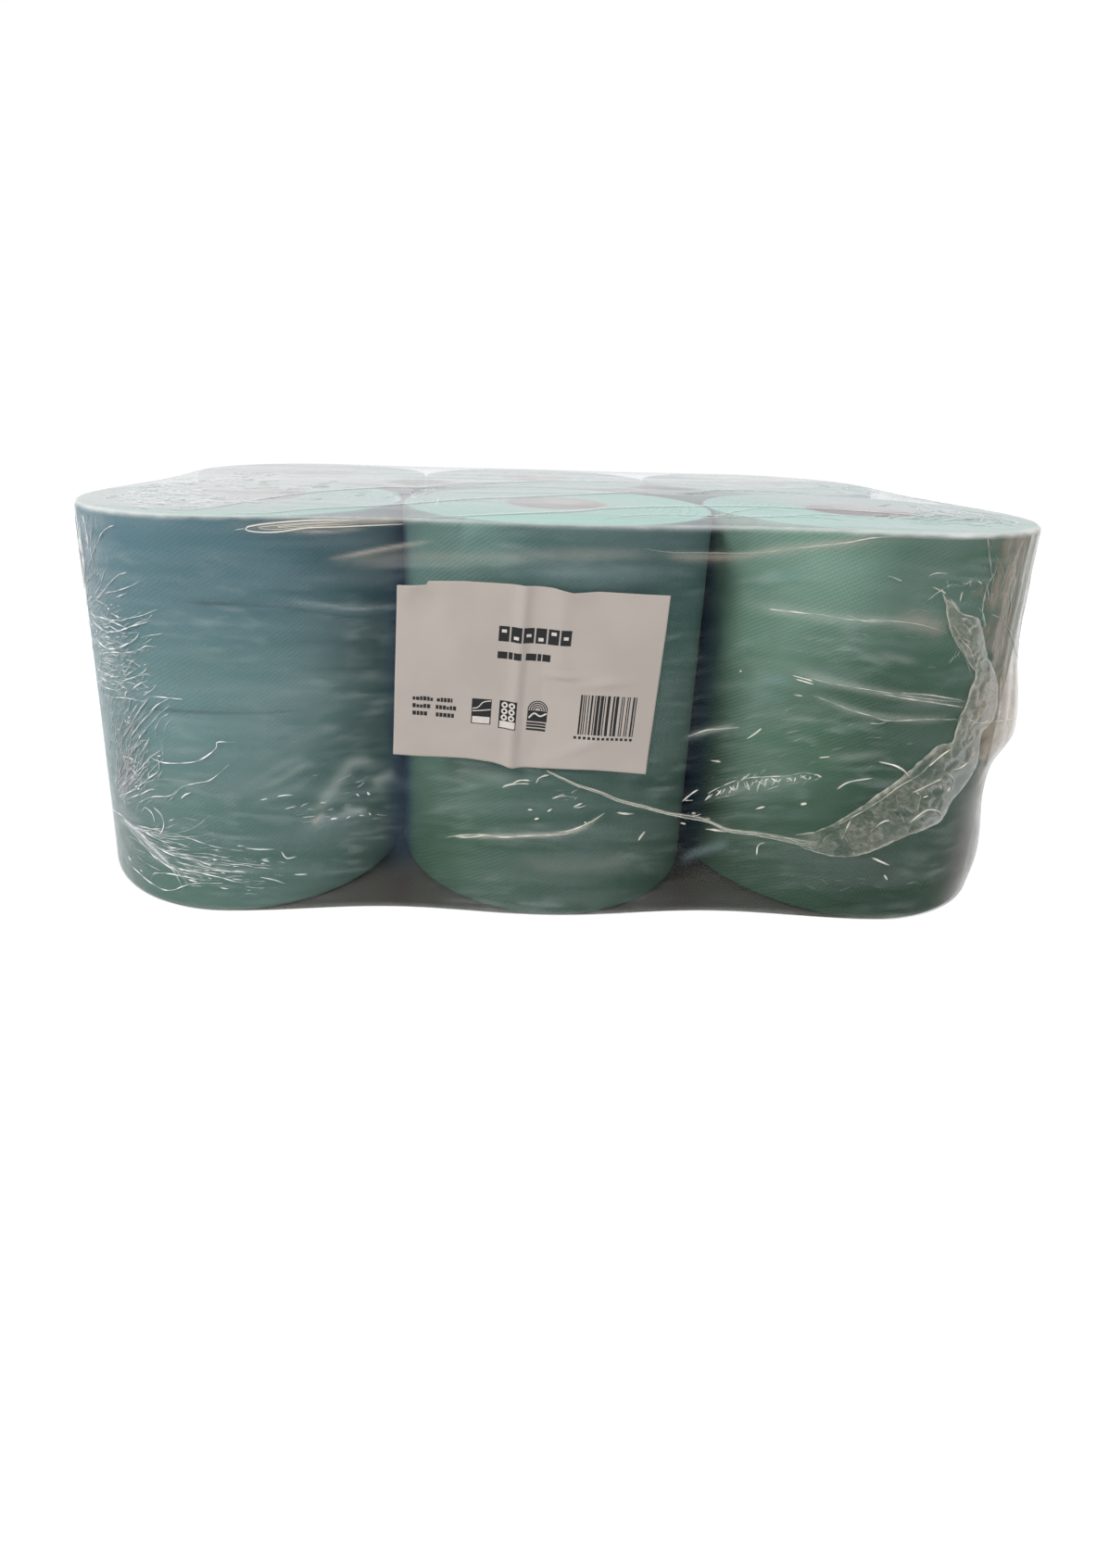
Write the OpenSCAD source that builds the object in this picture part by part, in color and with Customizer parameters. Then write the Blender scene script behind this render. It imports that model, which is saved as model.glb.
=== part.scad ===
// Pack of six wipe rolls, two deep and three long, shrunk tight in clear film.
// The rolls stand on end, each wound on a card core. A paper label is stuck on the front of the film.
// +X runs along the pack, +Y to its back and +Z up. The origin is on the floor under the pack's middle.

/* [Rolls] */
// Outside diameter of a wound roll
roll_d = 190; // [170:1:210]
// Width of the paper, which is the height of a standing roll
roll_h = 230; // [210:1:300]
// Free gap between neighbouring rolls
roll_gap = 0.6; // [0.4:0.1:2]
// Rounding of a roll's two rims
rim_r = 2.5; // [1.5:0.5:4]
// Spacing of the rings that the turns leave on a roll's ends
turn_step = 5; // [4:1:8]
// Width of one such ring
turn_w = 1.6; // [1:0.2:3]
// Depth of one such ring
turn_depth = 0.5; // [0.2:0.1:1]

/* [Cores] */
// Bore of a card core
core_bore = 60; // [50:1:76]
// Wall of a card core
core_wall = 2; // [1:0.5:4]
// Glue line between a core and the first turn of paper
glue_gap = 0.1; // [0.1:0.1:0.4]

/* [Film] */
// Thickness of the film
film_t = 0.3; // [0.2:0.05:0.6]
// Slack between the film and the rolls
film_ease = 0.3; // [0.3:0.1:1]
// How far the film is drawn in along its top and bottom edges, halfway between two rolls
span_sag = 6; // [0:1:12]
// Height of the long folds over the top
fold_h = 2.5; // [0:0.5:5]
// How far the film dips over the hollow between four rolls
hollow_dip = 2; // [0:0.5:4]
// Height of the gathers at the two ends
gather_h = 2; // [0:0.5:4]
// How far the loose ear beside the seal stands off the roll
ear_h = 9; // [0:1:12]
// Height of the ear's middle above the floor
ear_z = 102; // [90:1:120]
// How far the film stands off the same roll near the floor
foot_ease = 4; // [0:0.5:6]

/* [Seal] */
// Thickness of the gathered seal
seal_t = 0.8; // [0.4:0.1:1.2]
// Height of the ruffles along the seal
seal_ruffle = 1.2; // [0:0.2:2]
// Distance from one ruffle to the next
ruffle_step = 17; // [14:1:30]

/* [Label] */
// Width of the label
label_w = 142; // [100:1:160]
// Height of the label
label_h = 100; // [70:1:110]
// Thickness of the label and its glue
label_t = 0.25; // [0.15:0.05:0.5]
// Distance of the label's middle from the pack's middle, to the right
label_x = -20; // [-30:1:30]
// Height of the label's middle above the floor
label_z = 147.5; // [140:0.5:160]
// Turn of the label, anticlockwise
label_turn = -2.2; // [-5:0.1:5]

/* [Hidden] */
$fn = 96;

roll_r = roll_d / 2;
roll_pitch = roll_d + roll_gap;
roll_z = film_t;
wound_r = core_bore / 2 + core_wall + glue_gap;
film_r = roll_r + film_ease + film_t;
// The film turns a rim more sharply than the roll in it does, so that its two flats there clear the roll
film_rim = 0.85 * rim_r + film_t;
film_h = roll_z + roll_h + film_ease + film_t;

// The film's facets: along a rounded corner, along the front, along an end, and up a side
arc_steps = 9;
long_steps = 26;
short_steps = 14;
side_steps = 9;
nx = 2 * arc_steps + long_steps;
ny = short_steps;
stations = 2 * (nx + ny);
// A corner's vertices stand out by this factor, so that its flats clear the round roll
corner_lift = 1 / cos(45 / arc_steps);
// Two flats make each rounded rim of the film, and their shared corner lies this share of the rim in
rim_share = 0.29;
// Where the gathers start and are full, as shares of a roll's radius beyond the end rolls' middles
gather_start = 0.5;
gather_full = 0.85;
// The ear's middle on the front right corner, in degrees, its spread in degrees, and its reach up and down
ear_angle = 328;
ear_spread = 24;
ear_above = 46;
ear_below = 13;
foot_z = 28;
foot_rise = 26;
// The label and the seal lie this far off the film's facets
stick_gap = 0.15;
seal_gap = 0.45;
label_nx = 18;
label_ny = 8;
// The seal's route over the front: distance along the film from the pack's middle, height, and width
seal_route = [
    [-2, 93, 2], [19, 88, 2.5], [45, 79, 3], [72, 69, 3], [99, 61, 3.5], [127, 53, 5], [148, 50, 9],
    [173, 56, 14], [197, 73, 15], [212, 93, 13], [222, 113, 11], [226, 132, 10], [228, 151, 9],
    [225, 168, 8], [215, 184, 6], [203, 195, 3]
];
seal_substeps = 4;

function mix(a, b, t) = a + (b - a) * t;
function smooth(t) = let (c = min(max(t, 0), 1)) c * c * (3 - 2 * c);
function bell(t) = exp(-t * t);

// How fully the film spans free air at a point of the line of roll middles: 0 on a roll, 1 between two
function span_at(cx, cy) =
    pow(sin(180 * cx / roll_pitch), 2) + pow(sin(180 * (cy / roll_pitch + 0.5)), 2);

// Share of the sag at a height, as a share h of the pack's height: least halfway up
function sag_share(h) = mix(0.5, 1, pow(abs(2 * h - 1), 3));

// How far the film stands off its tight line at an angle of the front right corner
function ear_at(cx, cy, angle, z) =
    (cx > roll_pitch * 0.99 && cy < 0)
        ? bell((angle - ear_angle) / ear_spread)
            * (
                ear_h * bell((z - ear_z) / (z > ear_z ? ear_above : ear_below))
                + foot_ease * bell((z - foot_z) / foot_rise)
            )
        : 0;

// A point of the film's outside: middle of the curve it bends round, angle, height, and how far out
function skin_point(cx, cy, angle, z, out) =
    let (
        sag = span_sag * span_at(cx, cy) * sag_share(min(max(z / film_h, 0), 1)),
        r = film_r + out + ear_at(cx, cy, angle, z) - sag
    )
    [cx + r * cos(angle), cy + r * sin(angle), z];

// The middle and the angle of station i along the front, from the left end to the right one
function front_x(i) =
    i <= arc_steps ? -roll_pitch
    : i >= arc_steps + long_steps ? roll_pitch
    : mix(-roll_pitch, roll_pitch, (i - arc_steps) / long_steps);
function front_angle(i) =
    i <= arc_steps ? 180 + 90 * i / arc_steps
    : i >= arc_steps + long_steps ? 270 + 90 * (i - arc_steps - long_steps) / arc_steps
    : 270;

// Step k round the film as a place [i, j] on the grid of nx by ny that also covers the top
function grid_place(k) =
    k <= nx ? [k, 0]
    : k <= nx + ny ? [nx, k - nx]
    : k <= 2 * nx + ny ? [2 * nx + ny - k, ny]
    : [0, stations - k];

// The middle and the angle that the film has at a place on the grid's border
function border(i, j) =
    j == 0 ? [front_x(i), -roll_pitch / 2, front_angle(i)]
    : j == ny ? [front_x(i), roll_pitch / 2, -front_angle(i)]
    : [i == 0 ? -roll_pitch : roll_pitch, mix(-0.5, 0.5, j / ny) * roll_pitch, i == 0 ? 180 : 0];

// Inside a corner's curve, and not at its two ends
function on_corner(i, j) =
    (j == 0 || j == ny) && ((i > 0 && i < arc_steps) || (i > nx - arc_steps && i < nx));

// Gathers stand out at every second station of the ends, taller and lower in turn
function gather(i, j, b, h) =
    let (
        reach = (abs(b[0] + roll_r * cos(b[2])) - roll_pitch) / roll_r,
        share = smooth((reach - gather_start) / (gather_full - gather_start))
    )
    (i + j) % 2 == 1
        ? gather_h * share * (0.6 + 0.4 * sin(97 * (i + j))) * pow(sin(180 * h), 0.5)
        : 0;

// The film's outline at one height: inset is for the rims and wall for the inside of the film
function ring(z, inset, wall) = [
    for (k = [0:stations - 1])
        let (
            g = grid_place(k),
            b = border(g[0], g[1]),
            lift = on_corner(g[0], g[1]) ? film_r * (corner_lift - 1) : 0,
            h = min(max((z - film_rim) / (film_h - 2 * film_rim), 0), 1)
        )
        skin_point(b[0], b[1], b[2], z, lift + gather(g[0], g[1], b, h) - inset - wall)
];

// Height of the film's top above its flat level: long folds, and dips over the hollows between rolls
function top_rise(i, j, x, y) =
    let (
        fold = (j % 2 == 1) ? fold_h * sin(180 * i / nx) * (0.6 + 0.4 * sin(61 * j + 4 * i)) : 0,
        free = roll_pitch / sqrt(2) - roll_r,
        off = norm([abs(x) - roll_pitch / 2, y]) / free,
        dip = off < 1 ? hollow_dip * pow(1 - off * off, 2) : 0
    )
    fold - dip;

// Closed skin of the film, wall deep inside its outer surface
module film_skin(wall) {
    low = film_rim - wall;
    side_z = [for (s = [0:side_steps]) mix(film_rim, film_h - film_rim, s / side_steps)];
    levels = concat(
        [[wall, low], [mix(wall, film_rim, rim_share), low * rim_share]],
        [for (z = side_z) [z, 0]],
        [[mix(film_h - wall, film_h - film_rim, rim_share), low * rim_share], [film_h - wall, low]]
    );
    rings = [for (l = levels) ring(l[0], l[1], wall)];
    last = len(levels) - 1;
    rim = rings[last];
    // The top's inner points lie on lines from the front of the rim to its back, bent as its two ends are
    long = rim[nx][0] - rim[0][0];
    top = [
        for (i = [1:nx - 1], j = [1:ny - 1])
            let (
                t = j / ny,
                front = rim[i],
                back = rim[2 * nx + ny - i],
                share = (front[0] - rim[0][0]) / long,
                left = rim[stations - j] - mix(rim[0], rim[2 * nx + ny], t),
                right = rim[nx + j] - mix(rim[nx], rim[nx + ny], t),
                p = mix(front, back, t) + mix(left, right, share)
            )
            [p[0], p[1], film_h - wall + top_rise(i, j, p[0], p[1])]
    ];
    base = last * stations;
    function at(i, j) =
        j == 0 ? base + i
        : i == nx ? base + nx + j
        : j == ny ? base + 2 * nx + ny - i
        : i == 0 ? base + stations - j
        : base + stations + (i - 1) * (ny - 1) + (j - 1);
    sides = [
        for (l = [0:last - 1], k = [0:stations - 1])
            let (n = (k + 1) % stations, a = l * stations + k, b = l * stations + n)
            each [[a, a + stations, b + stations], [a, b + stations, b]]
    ];
    lid = [
        for (i = [0:nx - 1], j = [0:ny - 1])
            each [[at(i, j), at(i, j + 1), at(i + 1, j + 1)], [at(i, j), at(i + 1, j + 1), at(i + 1, j)]]
    ];
    // The floor is flat, and fans out from its middle
    mid = len(rings) * stations + len(top);
    floor_faces = [for (k = [0:stations - 1]) [mid, k, (k + 1) % stations]];
    polyhedron(
        points = concat([for (r = rings) each r], top, [[0, 0, wall]]),
        faces = concat(sides, lid, floor_faces)
    );
}

// The film has an outer and an inner skin, and is shut all round
module film_wrap() {
    color("#e6f0ee66")
        difference() {
            film_skin(0);
            film_skin(film_t);
        }
}

// A point off the film's front: distance along it from the pack's middle, height, and how far off
function film_at(along, z, off) =
    let (
        cx = min(max(along, -roll_pitch), roll_pitch),
        angle = 270 + (along - cx) / film_r * 180 / PI
    )
    skin_point(cx, -roll_pitch / 2, angle, z, off);

// Closed sheet from a grid of columns, each a list of points, with its near and far faces
module sheet(near, far) {
    cols = len(near);
    rows = len(near[0]);
    side = cols * rows;
    function at(c, r) = c * rows + r;
    quads = [
        for (c = [0:cols - 2], r = [0:rows - 2])
            let (a = at(c, r), b = at(c + 1, r), d = at(c, r + 1), e = at(c + 1, r + 1))
            each [[a, e, b], [a, d, e], [side + a, side + b, side + e], [side + a, side + e, side + d]]
    ];
    rim = concat(
        [for (c = [0:cols - 1]) at(c, 0)],
        [for (r = [1:rows - 1]) at(cols - 1, r)],
        [for (c = [cols - 2:-1:0]) at(c, rows - 1)],
        [for (r = [rows - 2:-1:1]) at(0, r)]
    );
    edges = [
        for (k = [0:len(rim) - 1])
            let (a = rim[k], b = rim[(k + 1) % len(rim)])
            each [[a, b, side + b], [a, side + b, side + a]]
    ];
    polyhedron(points = concat([for (c = near) each c], [for (c = far) each c]), faces = concat(quads, edges));
}

// The paper label follows the film under it
module label() {
    function place(c, r, off) =
        let (
            u = (c / label_nx - 0.5) * label_w,
            v = (r / label_ny - 0.5) * label_h
        )
        film_at(
            label_x + u * cos(label_turn) - v * sin(label_turn),
            label_z + u * sin(label_turn) + v * cos(label_turn),
            off
        );
    near = [for (c = [0:label_nx]) [for (r = [0:label_ny]) place(c, r, stick_gap)]];
    far = [for (c = [0:label_nx]) [for (r = [0:label_ny]) place(c, r, stick_gap + label_t)]];
    color("#d9cfcc") sheet(near, far);
}

// A smooth curve through four neighbouring points of the route, from the second to the third
function between(a, b, c, d, t) =
    0.5 * (2 * b + (c - a) * t + (2 * a - 5 * b + 4 * c - d) * t * t + (3 * b - a - 3 * c + d) * t * t * t);

// The seal's route in fine steps
function seal_line() =
    let (r = seal_route, n = len(r))
    concat(
        [
            for (k = [0:n - 2], s = [0:seal_substeps - 1])
                between(r[max(k - 1, 0)], r[k], r[k + 1], r[min(k + 2, n - 1)], s / seal_substeps)
        ],
        [r[n - 1]]
    );

// The seal is the welded edge of the film, gathered into a ruffled band as it shrank
module film_seal() {
    line = seal_line();
    n = len(line);
    run = [for (k = 0, s = 0; k < n; k = k + 1, s = s + (k < n ? norm(line[k] - line[k - 1]) : 0)) s];
    function edge(k, side, off) =
        let (
            a = line[max(k - 1, 0)],
            b = line[min(k + 1, n - 1)],
            d = [b[0] - a[0], b[1] - a[1]] / norm([b[0] - a[0], b[1] - a[1]]),
            w = line[k][2] / 2 * side,
            raised = side > 0 ? seal_ruffle * (0.5 + 0.5 * sin(360 * run[k] / ruffle_step)) : 0
        )
        film_at(line[k][0] - d[1] * w, line[k][1] + d[0] * w, seal_gap + off + raised);
    near = [for (k = [0:n - 1]) [for (side = [-1, 0, 1]) edge(k, side, 0)]];
    far = [for (k = [0:n - 1]) [for (side = [-1, 0, 1]) edge(k, side, seal_t)]];
    color("#eef2f088") sheet(near, far);
}

// Turns a square corner of a profile into a rounded one, at the corner that x and y point to
module rim_cut(x, y) {
    difference() {
        translate([x > 0 ? 0 : -rim_r, y > 0 ? 0 : -rim_r]) square(rim_r);
        circle(rim_r);
    }
}

// One roll of paper: the wound turns are one solid, and show as rings on both ends
module paper_roll() {
    ring_count = floor((roll_r - rim_r - wound_r - turn_w) / turn_step);
    ring_mid = [for (n = [1:ring_count]) wound_r + n * turn_step];
    low = [for (m = ring_mid) each [[m - turn_w / 2, 0], [m, turn_depth], [m + turn_w / 2, 0]]];
    high = [for (k = [len(low) - 1:-1:0]) [low[k][0], roll_h - low[k][1]]];
    color("#4f8a7d")
        rotate_extrude()
            difference() {
                polygon(concat([[wound_r, 0]], low, [[roll_r, 0], [roll_r, roll_h]], high, [[wound_r, roll_h]]));
                translate([roll_r - rim_r, rim_r]) rim_cut(1, -1);
                translate([roll_r - rim_r, roll_h - rim_r]) rim_cut(1, 1);
            }
}

// The card core is as long as the paper is wide
module card_core() {
    color("#a58a76")
        difference() {
            cylinder(h = roll_h, d = core_bore + 2 * core_wall);
            translate([0, 0, -1]) cylinder(h = roll_h + 2, d = core_bore);
        }
}

// Column -1, 0 or 1 along the pack, and row 0 at the front or 1 at the back
module stand(column, row) {
    translate([column * roll_pitch, (row - 0.5) * roll_pitch, roll_z]) children();
}

stand(-1, 0) paper_roll();  // roll_front_left
stand(0, 0) paper_roll();  // roll_front_middle
stand(1, 0) paper_roll();  // roll_front_right
stand(-1, 1) paper_roll();  // roll_back_left
stand(0, 1) paper_roll();  // roll_back_middle
stand(1, 1) paper_roll();  // roll_back_right
stand(-1, 0) card_core();  // core_front_left
stand(0, 0) card_core();  // core_front_middle
stand(1, 0) card_core();  // core_front_right
stand(-1, 1) card_core();  // core_back_left
stand(0, 1) card_core();  // core_back_middle
stand(1, 1) card_core();  // core_back_right
film_wrap();
film_seal();
label();
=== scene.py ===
"""Looks of a pack of six wipe rolls in shrunk clear film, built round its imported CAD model."""

import math

import bpy
import numpy as np
from mathutils import Matrix, Vector
from mathutils.kdtree import KDTree


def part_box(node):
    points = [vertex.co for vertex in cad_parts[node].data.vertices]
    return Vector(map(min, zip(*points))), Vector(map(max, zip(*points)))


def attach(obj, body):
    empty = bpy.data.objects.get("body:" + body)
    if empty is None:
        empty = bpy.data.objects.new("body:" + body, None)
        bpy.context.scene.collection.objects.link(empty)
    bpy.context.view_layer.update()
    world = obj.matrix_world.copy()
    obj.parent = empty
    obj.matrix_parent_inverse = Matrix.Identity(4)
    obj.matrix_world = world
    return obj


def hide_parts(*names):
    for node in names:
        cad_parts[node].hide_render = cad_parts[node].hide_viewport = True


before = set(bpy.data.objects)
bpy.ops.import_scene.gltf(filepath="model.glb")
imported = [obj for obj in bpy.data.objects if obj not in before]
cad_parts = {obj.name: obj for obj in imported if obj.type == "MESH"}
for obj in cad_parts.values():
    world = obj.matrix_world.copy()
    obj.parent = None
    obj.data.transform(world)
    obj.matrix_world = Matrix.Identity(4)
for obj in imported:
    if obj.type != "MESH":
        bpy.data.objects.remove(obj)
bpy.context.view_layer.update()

# Sizes in millimetres, as in the CAD model
MM = 0.001
ROLL_R = 95.0
PITCH = 190.6
FILM_R = 95.6
FILM_TOP = 230.9
RIM = 2.4
SAG = 6.0
QUARTER = math.pi / 2 * FILM_R
HALF_LOOP = 2 * PITCH + 2 * QUARTER + PITCH
# Positions along the film, from the middle of its front to the right, then round the back
CORNER_END = PITCH + QUARTER
BACK_START = CORNER_END + PITCH
# Where the film is gathered on each end
END_MIDDLE = CORNER_END + PITCH / 2
END_HEIGHT = 118


# Materials

def new_material(name):
    """An empty node material with a Principled shader, and what is needed to build on it."""
    mat = bpy.data.materials.new(name)
    mat.use_nodes = True
    nodes = mat.node_tree.nodes
    nodes.clear()
    out = nodes.new("ShaderNodeOutputMaterial")
    bsdf = nodes.new("ShaderNodeBsdfPrincipled")
    mat.node_tree.links.new(bsdf.outputs[0], out.inputs["Surface"])
    return mat, nodes, mat.node_tree.links, bsdf, out


class Tree:
    """Short ways to add nodes to one node tree."""

    def __init__(self, nodes, links):
        self.nodes, self.links = nodes, links

    def put(self, socket, value):
        if isinstance(value, bpy.types.NodeSocket):
            self.links.new(value, socket)
        else:
            socket.default_value = value

    def math(self, op, a, b=0.0, c=0.0, clamp=False):
        n = self.nodes.new("ShaderNodeMath")
        n.operation, n.use_clamp = op, clamp
        for socket, value in zip(n.inputs, (a, b, c)):
            self.put(socket, value)
        return n.outputs[0]

    def add(self, a, b):
        return self.math("ADD", a, b)

    def minus(self, a, b):
        return self.math("SUBTRACT", a, b)

    def times(self, a, b, clamp=False):
        return self.math("MULTIPLY", a, b, clamp=clamp)

    def over(self, a, b):
        return self.math("DIVIDE", a, b)

    def vector(self, x, y, z):
        n = self.nodes.new("ShaderNodeCombineXYZ")
        for socket, value in zip(n.inputs, (x, y, z)):
            self.put(socket, value)
        return n.outputs[0]

    def noise(self, at, scale, detail=2.0, rough=0.5):
        n = self.nodes.new("ShaderNodeTexNoise")
        self.put(n.inputs["Vector"], at)
        n.inputs["Scale"].default_value = scale
        n.inputs["Detail"].default_value = detail
        n.inputs["Roughness"].default_value = rough
        return n.outputs["Fac"]

    def ramp(self, value, low, high, to_low=0.0, to_high=1.0):
        n = self.nodes.new("ShaderNodeMapRange")
        n.interpolation_type = "SMOOTHSTEP"
        limits = {"Value": value, "From Min": low, "From Max": high, "To Min": to_low, "To Max": to_high}
        for key, v in limits.items():
            self.put(n.inputs[key], v)
        return n.outputs[0]

    def mix(self, fac, a, b):
        n = self.nodes.new("ShaderNodeMix")
        n.data_type = "RGBA"
        self.put(n.inputs["Factor"], fac)
        self.put(n.inputs["A"], a if isinstance(a, bpy.types.NodeSocket) else (*a, 1.0))
        self.put(n.inputs["B"], b if isinstance(b, bpy.types.NodeSocket) else (*b, 1.0))
        return n.outputs["Result"]

    def scale(self, colour, share):
        n = self.nodes.new("ShaderNodeVectorMath")
        n.operation = "SCALE"
        self.put(n.inputs[0], colour)
        self.put(n.inputs["Scale"], share)
        return n.outputs[0]

    def bump(self, height, strength, distance, normal=None):
        n = self.nodes.new("ShaderNodeBump")
        n.inputs["Strength"].default_value = strength
        n.inputs["Distance"].default_value = distance
        self.put(n.inputs["Height"], height)
        if normal is not None:
            self.put(n.inputs["Normal"], normal)
        return n.outputs[0]

    def place(self, centre=(0.0, 0.0, 0.0)):
        """Position in metres from a centre, as x, y and z."""
        coord = self.nodes.new("ShaderNodeTexCoord")
        sub = self.nodes.new("ShaderNodeVectorMath")
        sub.operation = "SUBTRACT"
        self.links.new(coord.outputs["Object"], sub.inputs[0])
        sub.inputs[1].default_value = centre
        split = self.nodes.new("ShaderNodeSeparateXYZ")
        self.links.new(sub.outputs[0], split.inputs[0])
        return sub.outputs[0], split.outputs

    def seen_directly(self):
        """One for camera, glossy and transmitted rays, and nought for those that light the object."""
        path = self.nodes.new("ShaderNodeLightPath")
        seen = path.outputs["Is Camera Ray"]
        for kind in ("Is Glossy Ray", "Is Transmission Ray"):
            seen = self.math("ADD", seen, path.outputs[kind], clamp=True)
        return seen

    def blend(self, share, first, second):
        """A shader between two others."""
        n = self.nodes.new("ShaderNodeMixShader")
        for socket, value in zip(n.inputs, (share, first, second)):
            self.links.new(value, socket)
        return n.outputs[0]


# The embossed rows climb at about 33 degrees; pitches of the rows and of the dots along them
ROW_UP, ROW_LEVEL = 0.54, 0.84
ROW_PITCH, DOT_PITCH = 2.1, 1.7
# Painted shade of the paper where two rolls touch
PAINTED_CONTACT_SHADE = (0.035, 0.100, 0.175)


def embossed_dots(t, around, z):
    """Height of the embossing: rows of dots that climb to the right."""
    def waves(round_share, up_share, pitch):
        turns = 2 * math.pi / (pitch * MM)
        return t.add(t.times(around, round_share * turns), t.times(z, up_share * turns))

    row = waves(-ROW_UP, ROW_LEVEL, ROW_PITCH)
    dot = waves(ROW_LEVEL, ROW_UP, DOT_PITCH)
    rows = t.math("MULTIPLY_ADD", t.math("SINE", row), 0.5, 0.5)
    return t.times(rows, t.math("MULTIPLY_ADD", t.math("SINE", dot), 0.34, 0.66))


def painted_light_side(t, z, lit, dim, towards_light):
    """Painted light and shade: three shades down the side, top, middle and foot, blended from the dim side
    round to the lit one.
    """
    rise, peak = t.ramp(z, 0.02, 0.125), t.ramp(z, 0.125, 0.215)
    lit_side = t.mix(peak, t.mix(rise, lit[2], lit[1]), lit[0])
    dim_side = t.mix(peak, t.mix(rise, dim[2], dim[1]), dim[0])
    return t.mix(t.ramp(towards_light, 0.60, 1.0), dim_side, lit_side)


def paper_material(name, centre, shades, touching, seed, relief):
    """Two-ply tissue: embossed rows of dots on the side, wound turns on the ends, painted light and shade
    round the side, painted shade where rolls touch.
    """
    mat, nodes, links, bsdf, _ = new_material(name)
    t = Tree(nodes, links)
    at, (x, y, z) = t.place(centre)
    around = t.times(t.math("ARCTAN2", y, x), ROLL_R * MM)
    radius = t.math("SQRT", t.add(t.times(x, x), t.times(y, y)))
    side = t.ramp(radius, (ROLL_R - 1.6) * MM, (ROLL_R - 0.4) * MM)

    def facing(degrees):
        a = math.radians(degrees)
        along = t.add(t.times(x, math.cos(a)), t.times(y, math.sin(a)))
        return t.over(along, ROLL_R * MM)

    dots = embossed_dots(t, around, z)
    soft = t.noise(t.vector(around, 0.0, z), 18.0 + seed, 3.0, 0.55)
    fibre = t.noise(at, 900.0, 3.0, 0.6)
    cloud = t.noise(at, 11.0 + seed, 3.0, 0.6)
    pressed = t.ramp(soft, 0.3, 0.62, 0.25, 1.0)

    # Painted light falls off down the side and round it, and painted shade darkens the rolls where they
    # touch
    lit, dim = shades
    colour = painted_light_side(t, z, lit, dim, facing(-150))
    colour = t.mix(t.ramp(cloud, 0.3, 0.75, 0.0, 0.3), colour, [c * 0.7 for c in dim[1]])
    raised = t.times(pressed, t.minus(dots, 0.25))
    colour = t.scale(colour, t.math("MULTIPLY_ADD", raised, 0.30 * relief, 1.0))
    start = t.ramp(z, 0.13, 0.229, 0.90, 0.982)
    for degrees in touching:
        colour = t.mix(t.ramp(facing(degrees), start, 0.999, 0.0, 0.95), colour, PAINTED_CONTACT_SHADE)

    # Each turn shows on the ends as a fine ring
    wobble = t.times(t.noise(at, 22.0, 2.0), 0.0012)
    turn = t.noise(t.vector(t.add(radius, wobble), 0.0, seed), 1500.0, 2.0, 0.7)
    broad = t.noise(t.vector(radius, 0.0, seed + 3.0), 210.0, 2.0, 0.6)
    end = t.mix(t.ramp(turn, 0.3, 0.7), (0.27, 0.54, 0.45), (0.40, 0.69, 0.59))
    end = t.mix(t.ramp(broad, 0.35, 0.7, 0.0, 0.35), end, (0.22, 0.45, 0.39))
    links.new(t.mix(side, end, colour), bsdf.inputs["Base Color"])
    links.new(t.ramp(fibre, 0.2, 0.8, 0.82, 0.98), bsdf.inputs["Roughness"])
    bsdf.inputs["Specular IOR Level"].default_value = 0.15
    embossed = t.times(side, t.times(dots, pressed))
    rings = t.times(t.minus(1.0, side), t.add(turn, broad))
    grain = t.add(rings, t.times(fibre, 0.05))
    height = t.add(t.times(embossed, 0.6 * relief), grain)
    normal = t.bump(height, 0.4, 0.0004)
    normal = t.bump(t.times(soft, side), 0.3, 0.003, normal)
    links.new(normal, bsdf.inputs["Normal"])
    return mat


def card_material():
    """Wound grey-brown card with a spiral seam."""
    mat, nodes, links, bsdf, _ = new_material("core_card")
    t = Tree(nodes, links)
    at, (x, y, z) = t.place()
    fibre = t.noise(at, 420.0, 4.0, 0.65)
    cloud = t.noise(at, 35.0, 3.0)
    colour = t.mix(t.ramp(cloud, 0.3, 0.7), (0.36, 0.25, 0.19), (0.47, 0.35, 0.28))
    colour = t.mix(t.ramp(fibre, 0.45, 0.8, 0.0, 0.4), colour, (0.26, 0.18, 0.13))
    links.new(colour, bsdf.inputs["Base Color"])
    bsdf.inputs["Roughness"].default_value = 0.88
    links.new(t.bump(fibre, 0.5, 0.0004), bsdf.inputs["Normal"])
    return mat


def film_material(name, shine=0.4, limit=0.15):
    """Clear film: its veil, creases and painted glints come with the mesh, and gloss grows with a slanting
    look.
    """
    mat, nodes, links, bsdf, out = new_material(name)
    t = Tree(nodes, links)
    look = nodes.new("ShaderNodeVertexColor")
    look.layer_name = "film_look"
    at, _ = t.place()
    smear = t.noise(at, 60.0, 3.0, 0.6)
    links.new(look.outputs["Color"], bsdf.inputs["Base Color"])
    bsdf.inputs["Roughness"].default_value = 0.22
    bsdf.inputs["Specular IOR Level"].default_value = 0.5
    cover = t.times(look.outputs["Alpha"], t.ramp(smear, 0.3, 0.7, 0.88, 1.1), clamp=True)
    clear = nodes.new("ShaderNodeBsdfTransparent")
    gloss = nodes.new("ShaderNodeBsdfGlossy")
    gloss.inputs["Color"].default_value = (0.95, 0.97, 1.0, 1.0)
    gloss.inputs["Roughness"].default_value = 0.07
    normal = t.bump(smear, 0.25, 0.0006)
    links.new(normal, gloss.inputs["Normal"])
    links.new(normal, bsdf.inputs["Normal"])
    body = t.blend(cover, clear.outputs[0], bsdf.outputs[0])
    fresnel = nodes.new("ShaderNodeFresnel")
    fresnel.inputs["IOR"].default_value = 1.2
    links.new(normal, fresnel.inputs["Normal"])
    mirrored = t.math("MINIMUM", t.times(fresnel.outputs[0], shine), limit)
    links.new(t.blend(mirrored, body, gloss.outputs[0]), out.inputs["Surface"])
    return mat


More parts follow.
